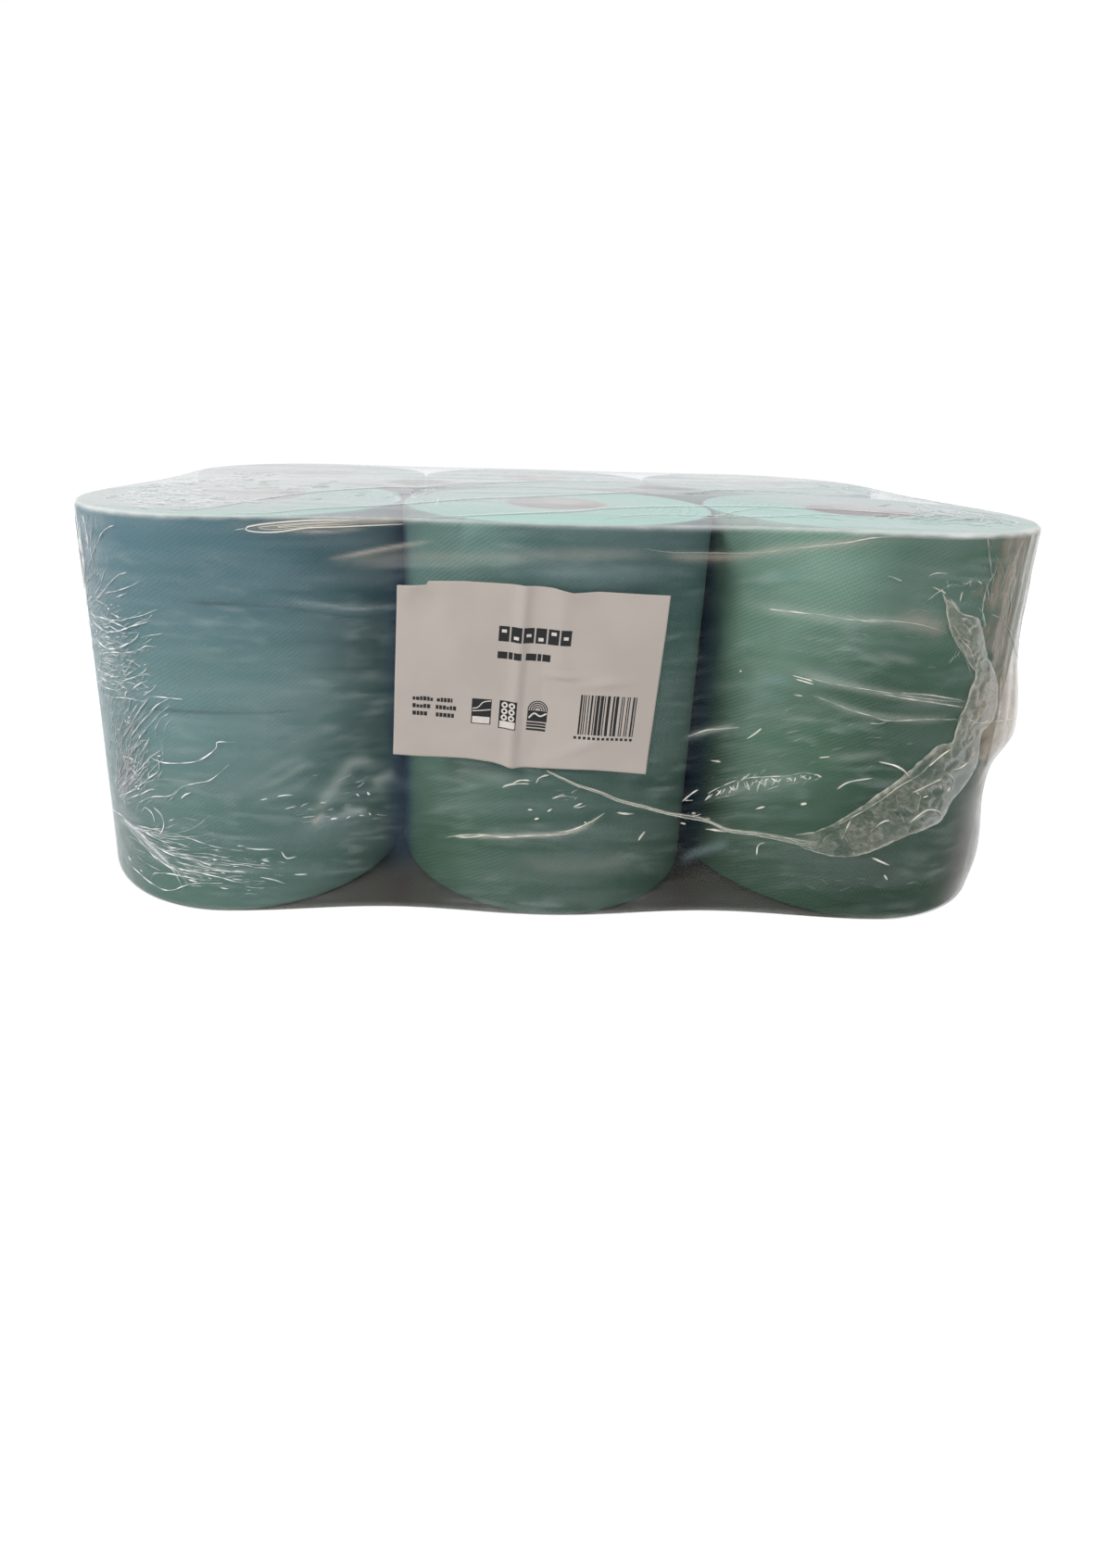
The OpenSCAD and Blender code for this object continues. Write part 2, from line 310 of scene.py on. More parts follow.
def label_material():
    """Coated paper, slightly pink, with faint mottling."""
    mat, nodes, links, bsdf, _ = new_material("label_paper")
    t = Tree(nodes, links)
    at, _ = t.place()
    cloud = t.noise(at, 28.0, 3.0)
    grain = t.noise(at, 1400.0, 2.0)
    colour = t.mix(t.ramp(cloud, 0.3, 0.7), (0.405, 0.358, 0.325), (0.45, 0.395, 0.36))
    links.new(colour, bsdf.inputs["Base Color"])
    links.new(t.ramp(cloud, 0.3, 0.7, 0.42, 0.55), bsdf.inputs["Roughness"])
    links.new(t.bump(t.add(cloud, t.times(grain, 0.03)), 0.3, 0.001), bsdf.inputs["Normal"])
    return mat


def ink_material(name, colour):
    """Matt printing ink with a fine grain."""
    mat, nodes, links, bsdf, _ = new_material(name)
    t = Tree(nodes, links)
    at, _ = t.place()
    grain = t.noise(at, 900.0, 3.0)
    pale = [min(1, c * 1.5 + 0.01) for c in colour]
    links.new(t.mix(t.ramp(grain, 0.35, 0.8, 0.0, 0.3), colour, pale), bsdf.inputs["Base Color"])
    bsdf.inputs["Roughness"].default_value = 0.5
    bsdf.inputs["Specular IOR Level"].default_value = 0.2
    return mat


# Meshes

def add_mesh(name, points, faces, mat, look=None):
    """A smooth mesh from millimetre points that rides on the pack; look is a colour and cover per point."""
    mesh = bpy.data.meshes.new(name)
    mesh.from_pydata([tuple(p) for p in np.asarray(points) * MM], [], faces)
    mesh.update()
    if look is not None:
        layer = mesh.color_attributes.new("film_look", "FLOAT_COLOR", "POINT")
        layer.data.foreach_set("color", np.asarray(look, np.float32).ravel())
    mesh.polygons.foreach_set("use_smooth", [True] * len(mesh.polygons))
    obj = bpy.data.objects.new(name, mesh)
    bpy.context.scene.collection.objects.link(obj)
    mesh.materials.append(mat)
    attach(obj, "root")
    return obj


def grid_faces(cols, rows):
    """Quads of a grid whose points run row by row within each column."""
    a = np.arange(cols - 1)[:, None] * rows + np.arange(rows - 1)[None, :]
    b = a + rows
    return np.stack([a, b, b + 1, a + 1], -1).reshape(-1, 4).tolist()


def lengths_along(p):
    """How far along a line each of its points lies."""
    return np.concatenate([[0], np.cumsum(np.linalg.norm(np.diff(p, axis=0), axis=1))])


def cut_evenly(p, count):
    """The line cut into equal steps: how far along each new point lies, and the points."""
    run = lengths_along(p)
    at = np.linspace(0, run[-1], count)
    return at, np.stack([np.interp(at, run, p[:, 0]), np.interp(at, run, p[:, 1])], -1)


def left_of(p):
    """Unit vectors square to a line, to the left of its run."""
    d = np.gradient(p, axis=0)
    d /= np.maximum(np.linalg.norm(d, axis=1), 1e-9)[:, None]
    return np.stack([-d[:, 1], d[:, 0]], -1)


def to_line(p, u, v):
    """Distance from places u, v to a line, the same with a sign, and the share of the line passed.

    The sign is positive on the left of the line's run.
    """
    run = lengths_along(p)
    best = np.full(u.shape, 1e9)
    along, signed = np.zeros(u.shape), np.zeros(u.shape)
    for k, d in enumerate(np.diff(p, axis=0)):
        n2 = d @ d
        if n2 < 1e-9:
            continue
        t = np.clip(((u - p[k, 0]) * d[0] + (v - p[k, 1]) * d[1]) / n2, 0, 1)
        du, dv = u - p[k, 0] - t * d[0], v - p[k, 1] - t * d[1]
        dist = np.hypot(du, dv)
        closer = dist < best
        best = np.where(closer, dist, best)
        along = np.where(closer, (run[k] + t * math.sqrt(n2)) / run[-1], along)
        signed = np.where(closer, np.sign(d[0] * dv - d[1] * du) * dist, signed)
    return best, signed, along


def bent_line(u, v, length, turn, bend):
    """A short line about the place u, v, turned and slightly bowed."""
    t = np.linspace(-0.5, 0.5, 5)
    pu = u + length * (t * math.cos(turn) - bend * t * t * math.sin(turn))
    pv = v + length * (t * math.sin(turn) + bend * t * t * math.cos(turn))
    return np.stack([pu, pv], -1)


def near_middle(rng, middle, reach):
    """A random place about a middle, closer to it than its reach for the most part."""
    return [middle[k] + rng.normal(0, 0.6) * reach[k] for k in (0, 1)]


def bell(x, middle, width):
    """One at the middle, and less and less to both sides."""
    return np.exp(-(((x - middle) / width) ** 2))


def spot(a, b):
    """One where both are nought, and less and less all round."""
    return np.exp(-(a ** 2) - (b ** 2))


def smooth_step(t):
    """From nought to one as t does, with soft ends."""
    t = np.clip(t, 0, 1)
    return t * t * (3 - 2 * t)


def film_path(s):
    """Middle of curvature and angle of the film at each position s along it."""
    s = np.asarray(s, float)
    s = (s + HALF_LOOP) % (2 * HALF_LOOP) - HALF_LOOP
    m = np.abs(s)
    half = PITCH / 2
    cx = np.select([m < PITCH, m < BACK_START + QUARTER], [m, PITCH], PITCH - (m - BACK_START - QUARTER))
    cy = np.select([m < CORNER_END, m < BACK_START], [-half, -half + (m - CORNER_END)], half)
    angle = np.select(
        [m < PITCH, m < CORNER_END, m < BACK_START, m < BACK_START + QUARTER],
        [-90.0, -90 + (m - PITCH) / FILM_R * 180 / math.pi, 0.0, (m - BACK_START) / FILM_R * 180 / math.pi],
        90.0,
    )
    side = np.where(s < 0, -1.0, 1.0)
    return cx * side, cy, np.where(side > 0, angle, 180 - angle)


def tight_radius(cx, cy, angle, z):
    """Radius of the tight film about its middle of curvature, with its sag and its loose ear."""
    span = np.sin(np.pi * cx / PITCH) ** 2 + np.sin(np.pi * (cy / PITCH + 0.5)) ** 2
    h = np.clip(z / FILM_TOP, 0, 1)
    sag = SAG * span * (0.5 + 0.5 * np.abs(2 * h - 1) ** 3)
    near = bell(angle, -32, 24) * ((cx > PITCH * 0.99) & (cy < 0))
    reach = np.where(z > 109, 41.0, 17.0)
    ear = near * (9 * bell(z, 109, reach) + 4 * bell(z, 28, 26))
    return FILM_R - sag + ear


def film_point(s, z, out=0.0):
    """The place at a position along the film and a height, in millimetres; out is away from the rolls."""
    cx, cy, angle = film_path(s)
    r = tight_radius(cx, cy, angle, z) + out
    a = np.radians(angle)
    return np.stack([cx + r * np.cos(a), cy + r * np.sin(a), z + 0 * cx], -1)


class Field:
    """What creases do to a sheet with positions u and v: how far they lift it, and how they look."""

    def __init__(self, u, v):
        self.u, self.v = u, v
        self.lift = np.zeros_like(u)
        # Share of what is behind that still shows
        self.open = np.ones_like(u)
        self.colour = np.zeros(u.shape + (3,))

    def cover(self, amount, colour, at=...):
        """Lays a colour over the sheet, or over its points at the given places, with this much cover."""
        amount = np.clip(amount, 0, 1)
        share = amount[..., None]
        self.colour[at] = self.colour[at] * (1 - share) + np.array(colour) * share
        self.open[at] *= 1 - amount

    def stroke(self, points, width, lift, glint, veil, tone, ends):
        """A crease along a line; glint is a painted highlight along its edge, veil its milky flank, ends its
        tapered share.
        """
        p = np.asarray(points, float)
        reach = 3.2 * width
        lo, hi = p.min(0) - reach, p.max(0) + reach
        near_u, near_v = (self.u > lo[0]) & (self.u < hi[0]), (self.v > lo[1]) & (self.v < hi[1])
        inside = np.nonzero(near_u & near_v)
        if not len(inside[0]):
            return
        best, signed, along = to_line(p, self.u[inside], self.v[inside])
        taper = smooth_step(along / ends) * smooth_step((1 - along) / ends)
        wide = bell(best, 0, width) * taper
        self.lift[inside] += lift * wide
        # Painted highlight along one edge of the crease
        if glint:
            thin = bell(signed, 0.3 * width, 0.5 * width) * taper
            self.cover(glint * thin, tone, inside)
        if veil:
            self.cover(veil * wide, [c * 0.82 for c in tone], inside)

    def look(self):
        """Colour and cover for each point, as the film's material reads them."""
        alpha = 1 - self.open
        rgb = self.colour / np.maximum(alpha, 1e-4)[..., None]
        return np.concatenate([np.clip(rgb, 0, 1), np.clip(alpha, 0, 1)[..., None]], -1)


def curve(points, per=4):
    """A smooth line through the points."""
    p = np.asarray(points, float)
    if len(p) < 3:
        t = np.linspace(0, 1, 8)[:, None]
        return p[0] * (1 - t) + p[-1] * t
    q = np.vstack([2 * p[0] - p[1], p, 2 * p[-1] - p[-2]])
    out = []
    for k in range(1, len(q) - 2):
        for j in range(per):
            t = j / per
            a, b, c, d = q[k - 1], q[k], q[k + 1], q[k + 2]
            bow, swing = 2 * a - 5 * b + 4 * c - d, 3 * b - a - 3 * c + d
            out.append(0.5 * (2 * b + (c - a) * t + bow * t * t + swing * t ** 3))
    out.append(p[-1])
    return np.array(out)


def even(points, count):
    """The line through the points, cut into equal steps."""
    return cut_evenly(curve(points, 8), count)[1]


def smooth_noise(rng, x, y, z=0.5):
    """Random field from minus one to one, smooth over cells of one unit."""
    order = np.tile(rng.permutation(256), 3)
    slopes = rng.normal(size=(256, 3))
    slopes /= np.linalg.norm(slopes, axis=1)[:, None]
    p = np.stack(np.broadcast_arrays(x, y, z), -1).astype(float)
    cell = np.floor(p).astype(int)
    f = p - cell
    w = f ** 3 * (f * (6 * f - 15) + 10)
    total = np.zeros(p.shape[:-1])
    for corner in np.ndindex(2, 2, 2):
        c = (cell + corner) & 255
        g = slopes[order[order[order[c[..., 0]] + c[..., 1]] + c[..., 2]]]
        total += np.prod(np.where(corner, w, 1 - w), -1) * ((f - corner) * g).sum(-1)
    return np.clip(2.1 * total, -1, 1)


def flat_noise(rng, u, v, su, sv):
    """Smooth noise on a flat sheet, in cells of su by sv."""
    return smooth_noise(rng, u / su + 31.7, v / sv + 17.3)


def loop_noise(rng, u, v, su, sv):
    """Smooth noise round the film's wall, which meets itself where the loop closes."""
    turn, r = math.pi * u / HALF_LOOP, HALF_LOOP / math.pi / su
    return smooth_noise(rng, r * np.cos(turn), r * np.sin(turn), v / sv + 7.3)


# Creases of the film's sides

WHITE = (0.96, 0.98, 0.98)
CREAM = (0.88, 0.85, 0.74)
IVORY = (0.93, 0.93, 0.84)
COOL = (0.66, 0.74, 0.78)
BEIGE = (0.60, 0.52, 0.44)
# Painted shadow along crease lines
PAINTED_SHADOW = (0.03, 0.08, 0.10)
PALE = (0.62, 0.68, 0.60)
MIST = (0.50, 0.56, 0.51)
WATER = (0.30, 0.55, 0.58)

# Single creases, as positions along the film and heights, in millimetres
LEFT_CREASES = [
    [(-269, 196), (-261, 204), (-253, 211), (-246, 218), (-241, 221), (-235, 223)],
    [(-288, 169), (-277, 179), (-266, 190), (-258, 197)],
    [(-293, 170), (-270, 179), (-257, 186), (-250, 195), (-245, 202), (-245, 207)],
    [(-276, 171), (-263, 179), (-250, 185), (-239, 188), (-228, 192), (-221, 196)],
    [(-272, 174), (-256, 183), (-245, 191), (-238, 196), (-230, 199)],
    [(-241, 184), (-231, 188)],
    [(-282, 168), (-260, 170), (-244, 171), (-232, 174), (-222, 177), (-213, 181)],
    [(-275, 166), (-258, 163), (-243, 165), (-231, 170), (-220, 175), (-216, 178)],
    [(-271, 156), (-257, 153), (-245, 155), (-234, 160), (-228, 164), (-226, 167)],
    [(-233, 169), (-224, 172), (-219, 174)],
    [(-226, 164), (-220, 166), (-211, 168)],
    [(-272, 145), (-254, 151), (-237, 154), (-228, 157), (-222, 160), (-215, 160)],
    [(-280, 136), (-261, 137), (-248, 138), (-243, 143), (-245, 146)],
    [(-245, 136), (-235, 140), (-227, 144), (-223, 148)],
    [(-236, 133), (-229, 138), (-223, 140)],
    [(-228, 131), (-222, 135), (-218, 139)],
    [(-274, 127), (-249, 130), (-243, 135)],
    [(-226, 131), (-216, 132), (-203, 132)],
    [(-265, 122), (-242, 127), (-226, 128)],
    [(-271, 97), (-261, 108), (-257, 116), (-258, 121)],
    [(-259, 99), (-249, 109), (-245, 116), (-240, 122)],
    [(-253, 98), (-242, 109), (-235, 118), (-228, 126), (-224, 131)],
    [(-245, 100), (-235, 111), (-227, 119), (-219, 127), (-211, 132)],
    [(-242, 95), (-233, 106), (-226, 114), (-217, 123), (-211, 128)],
    [(-238, 91), (-228, 104), (-227, 107)],
    [(-222, 112), (-218, 119), (-212, 123)],
    [(-254, 79), (-243, 92), (-235, 102), (-229, 105)],
    [(-261, 71), (-249, 84), (-242, 93)],
    [(-269, 64), (-257, 78), (-252, 87), (-254, 92)],
    [(-265, 62), (-245, 78), (-233, 89), (-228, 95)],
    [(-262, 60), (-243, 71), (-232, 80), (-223, 87), (-222, 94), (-226, 99)],
    [(-254, 61), (-239, 69), (-229, 75), (-224, 79)],
    [(-243, 62), (-229, 70), (-217, 73), (-211, 78), (-207, 81)],
    [(-218, 69), (-213, 75), (-208, 80), (-199, 83), (-192, 85), (-185, 91), (-181, 95)],
    [(-210, 72), (-207, 75), (-203, 77)],
    [(-253, 89), (-243, 90), (-241, 89)],
    [(-229, 95), (-220, 93), (-209, 94), (-199, 96), (-192, 100), (-187, 105), (-186, 108), (-176, 108)],
    [(-200, 121), (-198, 124)],
    [(-244, 84), (-240, 81), (-235, 85), (-233, 89)],
    [(-293, 39), (-265, 47), (-251, 45), (-238, 41), (-229, 34), (-222, 28)],
    [(-222, 27), (-205, 26), (-192, 24), (-182, 21), (-174, 21)],
    [(-219, 31), (-205, 30), (-191, 28), (-175, 27)],
    [(-231, 38), (-219, 35), (-204, 34), (-195, 31)],
    [(-251, 45), (-237, 45), (-226, 43), (-216, 43)],
    [(-215, 49), (-207, 48), (-197, 45)],
    [(-265, 15), (-252, 15), (-240, 12), (-228, 10), (-220, 12), (-213, 16), (-204, 19), (-189, 20)],
    [(-238, 13), (-234, 19), (-222, 22), (-209, 22), (-200, 21)],
    [(-261, 21), (-256, 19)],
    [(-222, 40), (-215, 40)],
    [(-219, 57), (-215, 59)],
    [(-192, 17), (-186, 16)],
    [(-241, 37), (-234, 31), (-226, 28), (-209, 22)],
    [(-230, 64), (-224, 60), (-223, 53), (-227, 46)],
    [(-237, 62), (-231, 60), (-229, 53)],
    [(-267, 226), (-264, 214), (-265, 204)],
    [(-255, 227), (-257, 218), (-262, 209)],
    [(-249, 228), (-251, 220)],
    [(-281, 216), (-277, 202), (-277, 189)],
]
RIGHT_CREASES = [
    [(119, 187), (133, 186), (147, 184), (160, 184), (170, 184), (181, 183), (191, 181), (201, 178)],
    [(145, 187), (153, 184), (160, 183), (167, 184)],
    [(124, 154), (135, 150), (152, 147), (167, 145), (181, 143), (196, 141), (221, 138)],
    [(167, 144), (184, 141), (199, 139), (220, 135)],
    [(181, 144), (198, 143), (219, 139)],
    [(135, 141), (146, 137), (157, 133), (169, 130), (175, 128), (184, 128), (198, 129), (218, 128)],
    [(167, 126), (174, 126), (177, 128)],
    [(115, 220), (127, 222), (140, 224), (153, 227), (162, 228)],
    [(163, 208), (167, 207), (172, 205)],
    [(184, 208), (188, 210), (195, 210)],
    [(186, 195), (189, 198), (193, 201), (195, 197), (200, 194), (202, 195)],
    [(192, 202), (194, 200)],
    [(187, 203), (192, 201), (196, 199)],
    [(194, 200), (198, 192), (200, 184), (205, 175), (212, 167), (220, 156), (224, 150)],
    [(198, 197), (203, 191), (208, 188), (215, 186), (221, 181)],
    [(207, 185), (211, 186)],
    [(225, 183), (223, 177), (227, 170), (224, 161), (225, 152), (223, 144), (222, 135), (219, 129),
     (219, 120), (218, 110), (221, 101)],
    [(219, 129), (226, 127), (235, 124), (255, 122), (277, 119)],
    [(202, 184), (210, 174), (217, 168), (223, 159)],
    [(208, 184), (221, 173), (225, 169)],
    [(213, 229), (217, 218), (222, 207)],
    [(220, 221), (230, 208), (230, 201), (232, 190)],
    [(239, 199), (244, 191), (245, 182)],
    [(218, 206), (222, 197), (225, 193)],
    [(216, 192), (220, 188), (222, 183)],
    [(228, 187), (240, 182), (256, 169), (278, 152)],
]
# Creases that lie on the seal's band
BAND_CREASES = [
    [(155, 86), (161, 91), (174, 94)],
    [(175, 104), (184, 102), (190, 99), (194, 95)],
    [(142, 105), (149, 106)],
    [(180, 63), (184, 67), (188, 68)],
    [(164, 61), (166, 68)],
    [(197, 85), (203, 88), (209, 91), (215, 93)],
    [(204, 101), (210, 107), (216, 111)],
    [(199, 66), (203, 70), (209, 74), (217, 72), (221, 66)],
    [(220, 98), (225, 98), (231, 101)],
    [(216, 97), (223, 91), (223, 84)],
    [(199, 86), (202, 84)],
    [(204, 82), (208, 83)],
    [(213, 89), (216, 86)],
    [(220, 84), (222, 87)],
    [(181, 44), (190, 40), (193, 39)],
    [(190, 33), (193, 29)],
]
MIDDLE_CREASES = [
    [(-32, 83), (-28, 85), (-22, 86), (-16, 86)],
    [(-27, 85), (-22, 88), (-16, 88)],
    [(-13, 86), (-11, 90), (-5, 92)],
    [(-13, 89), (-9, 91), (-6, 92)],
    [(-4, 77), (1, 79), (5, 79)],
    [(8, 72), (12, 74), (14, 75)],
    [(-17, 70), (-14, 70)],
    [(-6, 69), (-3, 71)],
    [(-63, 50), (-54, 52), (-42, 53), (-31, 52), (-21, 53), (-9, 54), (4, 55), (10, 58)],
    [(-58, 51), (-49, 51), (-39, 53)],
    [(-22, 53), (-20, 53)],
    [(-13, 64), (-10, 65)],
    [(15, 63), (17, 62)],
    [(-107, 78), (-105, 76)],
    [(-106, 65), (-105, 63)],
    [(-8, 95), (2, 90), (12, 85), (19, 82)],
]
RIGHT_ROLL_CREASES = [
    [(70, 75), (75, 80), (79, 83)],
    [(71, 76), (77, 76)],
    [(112, 71), (118, 73)],
    [(137, 75), (141, 76)],
    [(117, 41), (117, 48), (121, 50)],
    [(69, 115), (79, 119), (88, 120), (98, 121)],
    [(102, 114), (106, 117), (110, 121)],
    [(124, 141), (130, 140)],
    [(94, 153), (95, 154)],
    [(105, 188), (117, 187), (129, 186)],
    [(122, 152), (134, 149)],
    [(124, 150), (135, 147)],
    [(83, 101), (90, 100)],
    [(70, 62), (74, 61)],
    [(76, 68), (79, 68)],
    [(83, 64), (88, 63)],
    [(85, 58), (99, 56)],
    [(47, 50), (49, 54), (51, 57)],
    [(33, 69), (38, 68), (44, 68)],
    [(36, 219), (51, 217), (69, 217), (86, 217), (101, 218), (113, 220), (124, 222)],
    [(0, 56), (9, 58), (19, 63), (27, 69)],
    [(17, 63), (21, 63)],
]

# Nested loops of the bright fold under the front rim, low ribbons with a painted highlight
COMET_CREASES = [
    [(-84, 229.8), (-108, 229.4), (-134, 228.6), (-152, 227), (-160, 225.8), (-164.5, 224.4), (-160, 223),
     (-149, 223), (-134, 225.2), (-117, 226), (-85, 228)],
    [(-106, 229.2), (-134, 227.5), (-150, 226), (-158, 224.8), (-150, 224.2), (-140, 225), (-128, 226.3),
     (-108, 227.6)],
    [(-114, 228.4), (-138, 226.7), (-149, 225.2), (-138, 225.9), (-120, 227.2)],
    [(-170, 223.4), (-167, 223.9), (-164, 224.4)],
]
# The crinkled patch on the right roll, between its upper and lower edge
CRINKLE_UPPER = [(84, 80), (90, 84), (100, 89), (109, 91), (120, 92), (129, 93), (136, 95), (145, 94)]
CRINKLE_LOWER = [
    (83, 75), (88, 76), (91, 78), (101, 80), (113, 82), (123, 86), (134, 89), (141, 90), (147, 93),
]
LEFT_GLINTS = [
    [(-157, 75), (-152, 76), (-147, 76)],
    [(-166, 73), (-161, 74)],
    [(-153, 67), (-150, 68), (-146, 69)],
    [(-113, 77), (-111, 75)],
    [(-107, 77), (-105, 76)],
    [(-176, 43), (-168, 42), (-159, 42)],
    [(-167, 35), (-162, 34)],
    [(-150, 25), (-145, 25), (-141, 25)],
    [(-184, 28), (-180, 28), (-176, 27)],
    [(-185, 23), (-178, 22)],
    [(-169, 24), (-161, 22), (-154, 19)],
    [(-128, 60), (-126, 61), (-123, 61)],
    [(-119, 61), (-117, 62), (-116, 63)],
    [(-112, 63), (-108, 63)],
    [(-156, 41), (-153, 36), (-147, 37)],
]

# Broad soft bands, painted highlight and reflection streaks with a slight real lift, and painted shadow
# lines: points, width, lift, glint, veil, tone, share of the length that tapers
PAINTED_SIDE_BANDS = [
    ([(-168, 224), (-157, 225), (-134, 226), (-102, 228.5), (-80, 229.5)], 1.9, 0.2, 0.25, 0.30, BEIGE, 0.2),
    ([(-150, 222), (-125, 223), (-100, 225)], 1.3, 0.1, 0.35, 0.1, BEIGE, 0.4),
    ([(-128, 208), (-102, 209), (-79, 211), (-55, 211), (-18, 214), (20, 216), (53, 215)],
     3.4, 0.3, 0.0, 0.2, (0.56, 0.53, 0.46), 0.18),
    ([(40, 215), (82, 215), (100, 218), (133, 223), (163, 227)], 2.4, 0.3, 0.1, 0.26, BEIGE, 0.2),
    ([(-110, 205), (-80, 207), (-40, 208)], 1.5, 0.1, 0.0, 0.12, COOL, 0.4),
    ([(-30, 205), (20, 206), (60, 204)], 5.0, 0.1, 0.0, 0.10, COOL, 0.4),
    ([(-210, 186), (-178, 185), (-150, 184), (-129, 181), (-110, 179), (-83, 183)],
     1.2, -0.1, 0.0, 0.4, PAINTED_SHADOW, 0.2),
    ([(-150, 187), (-129, 185), (-110, 183), (-90, 185)], 1.8, 0.2, 0.1, 0.12, COOL, 0.3),
    ([(-232, 124), (-208, 125), (-168, 125), (-133, 127)], 1.1, -0.1, 0.0, 0.4, PAINTED_SHADOW, 0.2),
    ([(85, 193), (116, 187), (145, 184), (170, 184), (196, 180)], 3.2, 0.3, 0.0, 0.28, PALE, 0.3),
    ([(169, 186), (184, 184), (203, 178)], 5.0, 0.2, 0.0, 0.26, BEIGE, 0.3),
    ([(117, 158), (138, 151), (165, 145), (192, 141), (219, 138)], 2.6, 0.3, 0.0, 0.30, PALE, 0.25),
    ([(132, 143), (146, 137), (167, 131), (191, 129), (219, 129)], 2.2, 0.3, 0.0, 0.28, PALE, 0.25),
    ([(66, 114), (82, 119), (98, 122)], 1.9, 0.3, 0.1, 0.26, PALE, 0.3),
    ([(114, 126), (130, 127), (145, 126)], 1.7, 0.2, 0.0, 0.2, PALE, 0.4),
    ([(142, 104), (163, 106), (186, 110)], 2.6, 0.2, 0.0, 0.2, PALE, 0.4),
    ([(162, 166), (179, 163), (191, 161)], 2.2, 0.2, 0.0, 0.18, PALE, 0.4),
    ([(84, 77), (100, 84), (120, 88), (146, 94)], 4.5, 0.4, 0.0, 0.12, PALE, 0.25),
    ([(-139, 61), (-130, 73), (-121, 87), (-115, 95), (-107, 97), (-99, 93)],
     3.8, 0.2, 0.0, 0.26, MIST, 0.25),
    ([(-105, 82), (-97, 87), (-89, 91)], 3.4, 0.1, 0.0, 0.2, MIST, 0.3),
    ([(-179, 78), (-162, 88), (-149, 96), (-137, 103)], 3.0, 0.1, 0.0, 0.09, COOL, 0.3),
    ([(-171, 78), (-154, 86), (-139, 95), (-131, 93)], 2.2, 0.1, 0.0, 0.2, MIST, 0.3),
    ([(-175, 67), (-159, 75), (-144, 82), (-134, 90)], 2.6, 0.1, 0.0, 0.09, COOL, 0.3),
    ([(-139, 58), (-134, 61), (-130, 65)], 1.8, 0.1, 0.1, 0.3, BEIGE, 0.3),
    ([(-122, 69), (-114, 66), (-105, 65)], 2.2, 0.2, 0.0, 0.26, (0.62, 0.66, 0.64), 0.3),
    ([(-128, 208), (-110, 211.5), (-92, 215.5), (-67, 220)], 1.7, 0.1, 0.3, 0.2, BEIGE, 0.3),
    ([(-160, 96), (-140, 112), (-112, 118)], 3.0, 0.1, 0.0, 0.1, MIST, 0.4),
    ([(-66, 84), (-48, 92), (-30, 88), (-20, 78)], 3.4, 0.2, 0.0, 0.12, MIST, 0.4),
    ([(-78, 64), (-60, 70), (-40, 66)], 4.0, 0.2, 0.0, 0.10, MIST, 0.4),
    ([(-63, 51), (-21, 53), (10, 57), (28, 69)], 1.8, 0.3, 0.2, 0.22, CREAM, 0.25),
    ([(-30, 36), (20, 34), (60, 44)], 6.0, 0.2, 0.0, 0.07, CREAM, 0.3),
    ([(70, 36), (86, 44), (104, 51)], 3.4, 0.2, 0.0, 0.18, (0.45, 0.62, 0.66), 0.3),
    ([(-262, 46), (-244, 43), (-230, 34), (-222, 28)], 1.6, 0.5, 0.4, 0.3, WHITE, 0.12),
    ([(98, 150), (112, 149), (128, 146)], 3.0, 0.1, 0.0, 0.14, WATER, 0.4),
    ([(96, 140), (110, 140), (126, 136)], 2.6, 0.1, 0.0, 0.12, WATER, 0.4),
    ([(96, 205), (112, 206), (130, 208)], 2.6, 0.1, 0.0, 0.12, WATER, 0.4),
    ([(-150, 52), (-128, 60), (-106, 68)], 3.5, 0.2, 0.0, 0.12, COOL, 0.4),
]

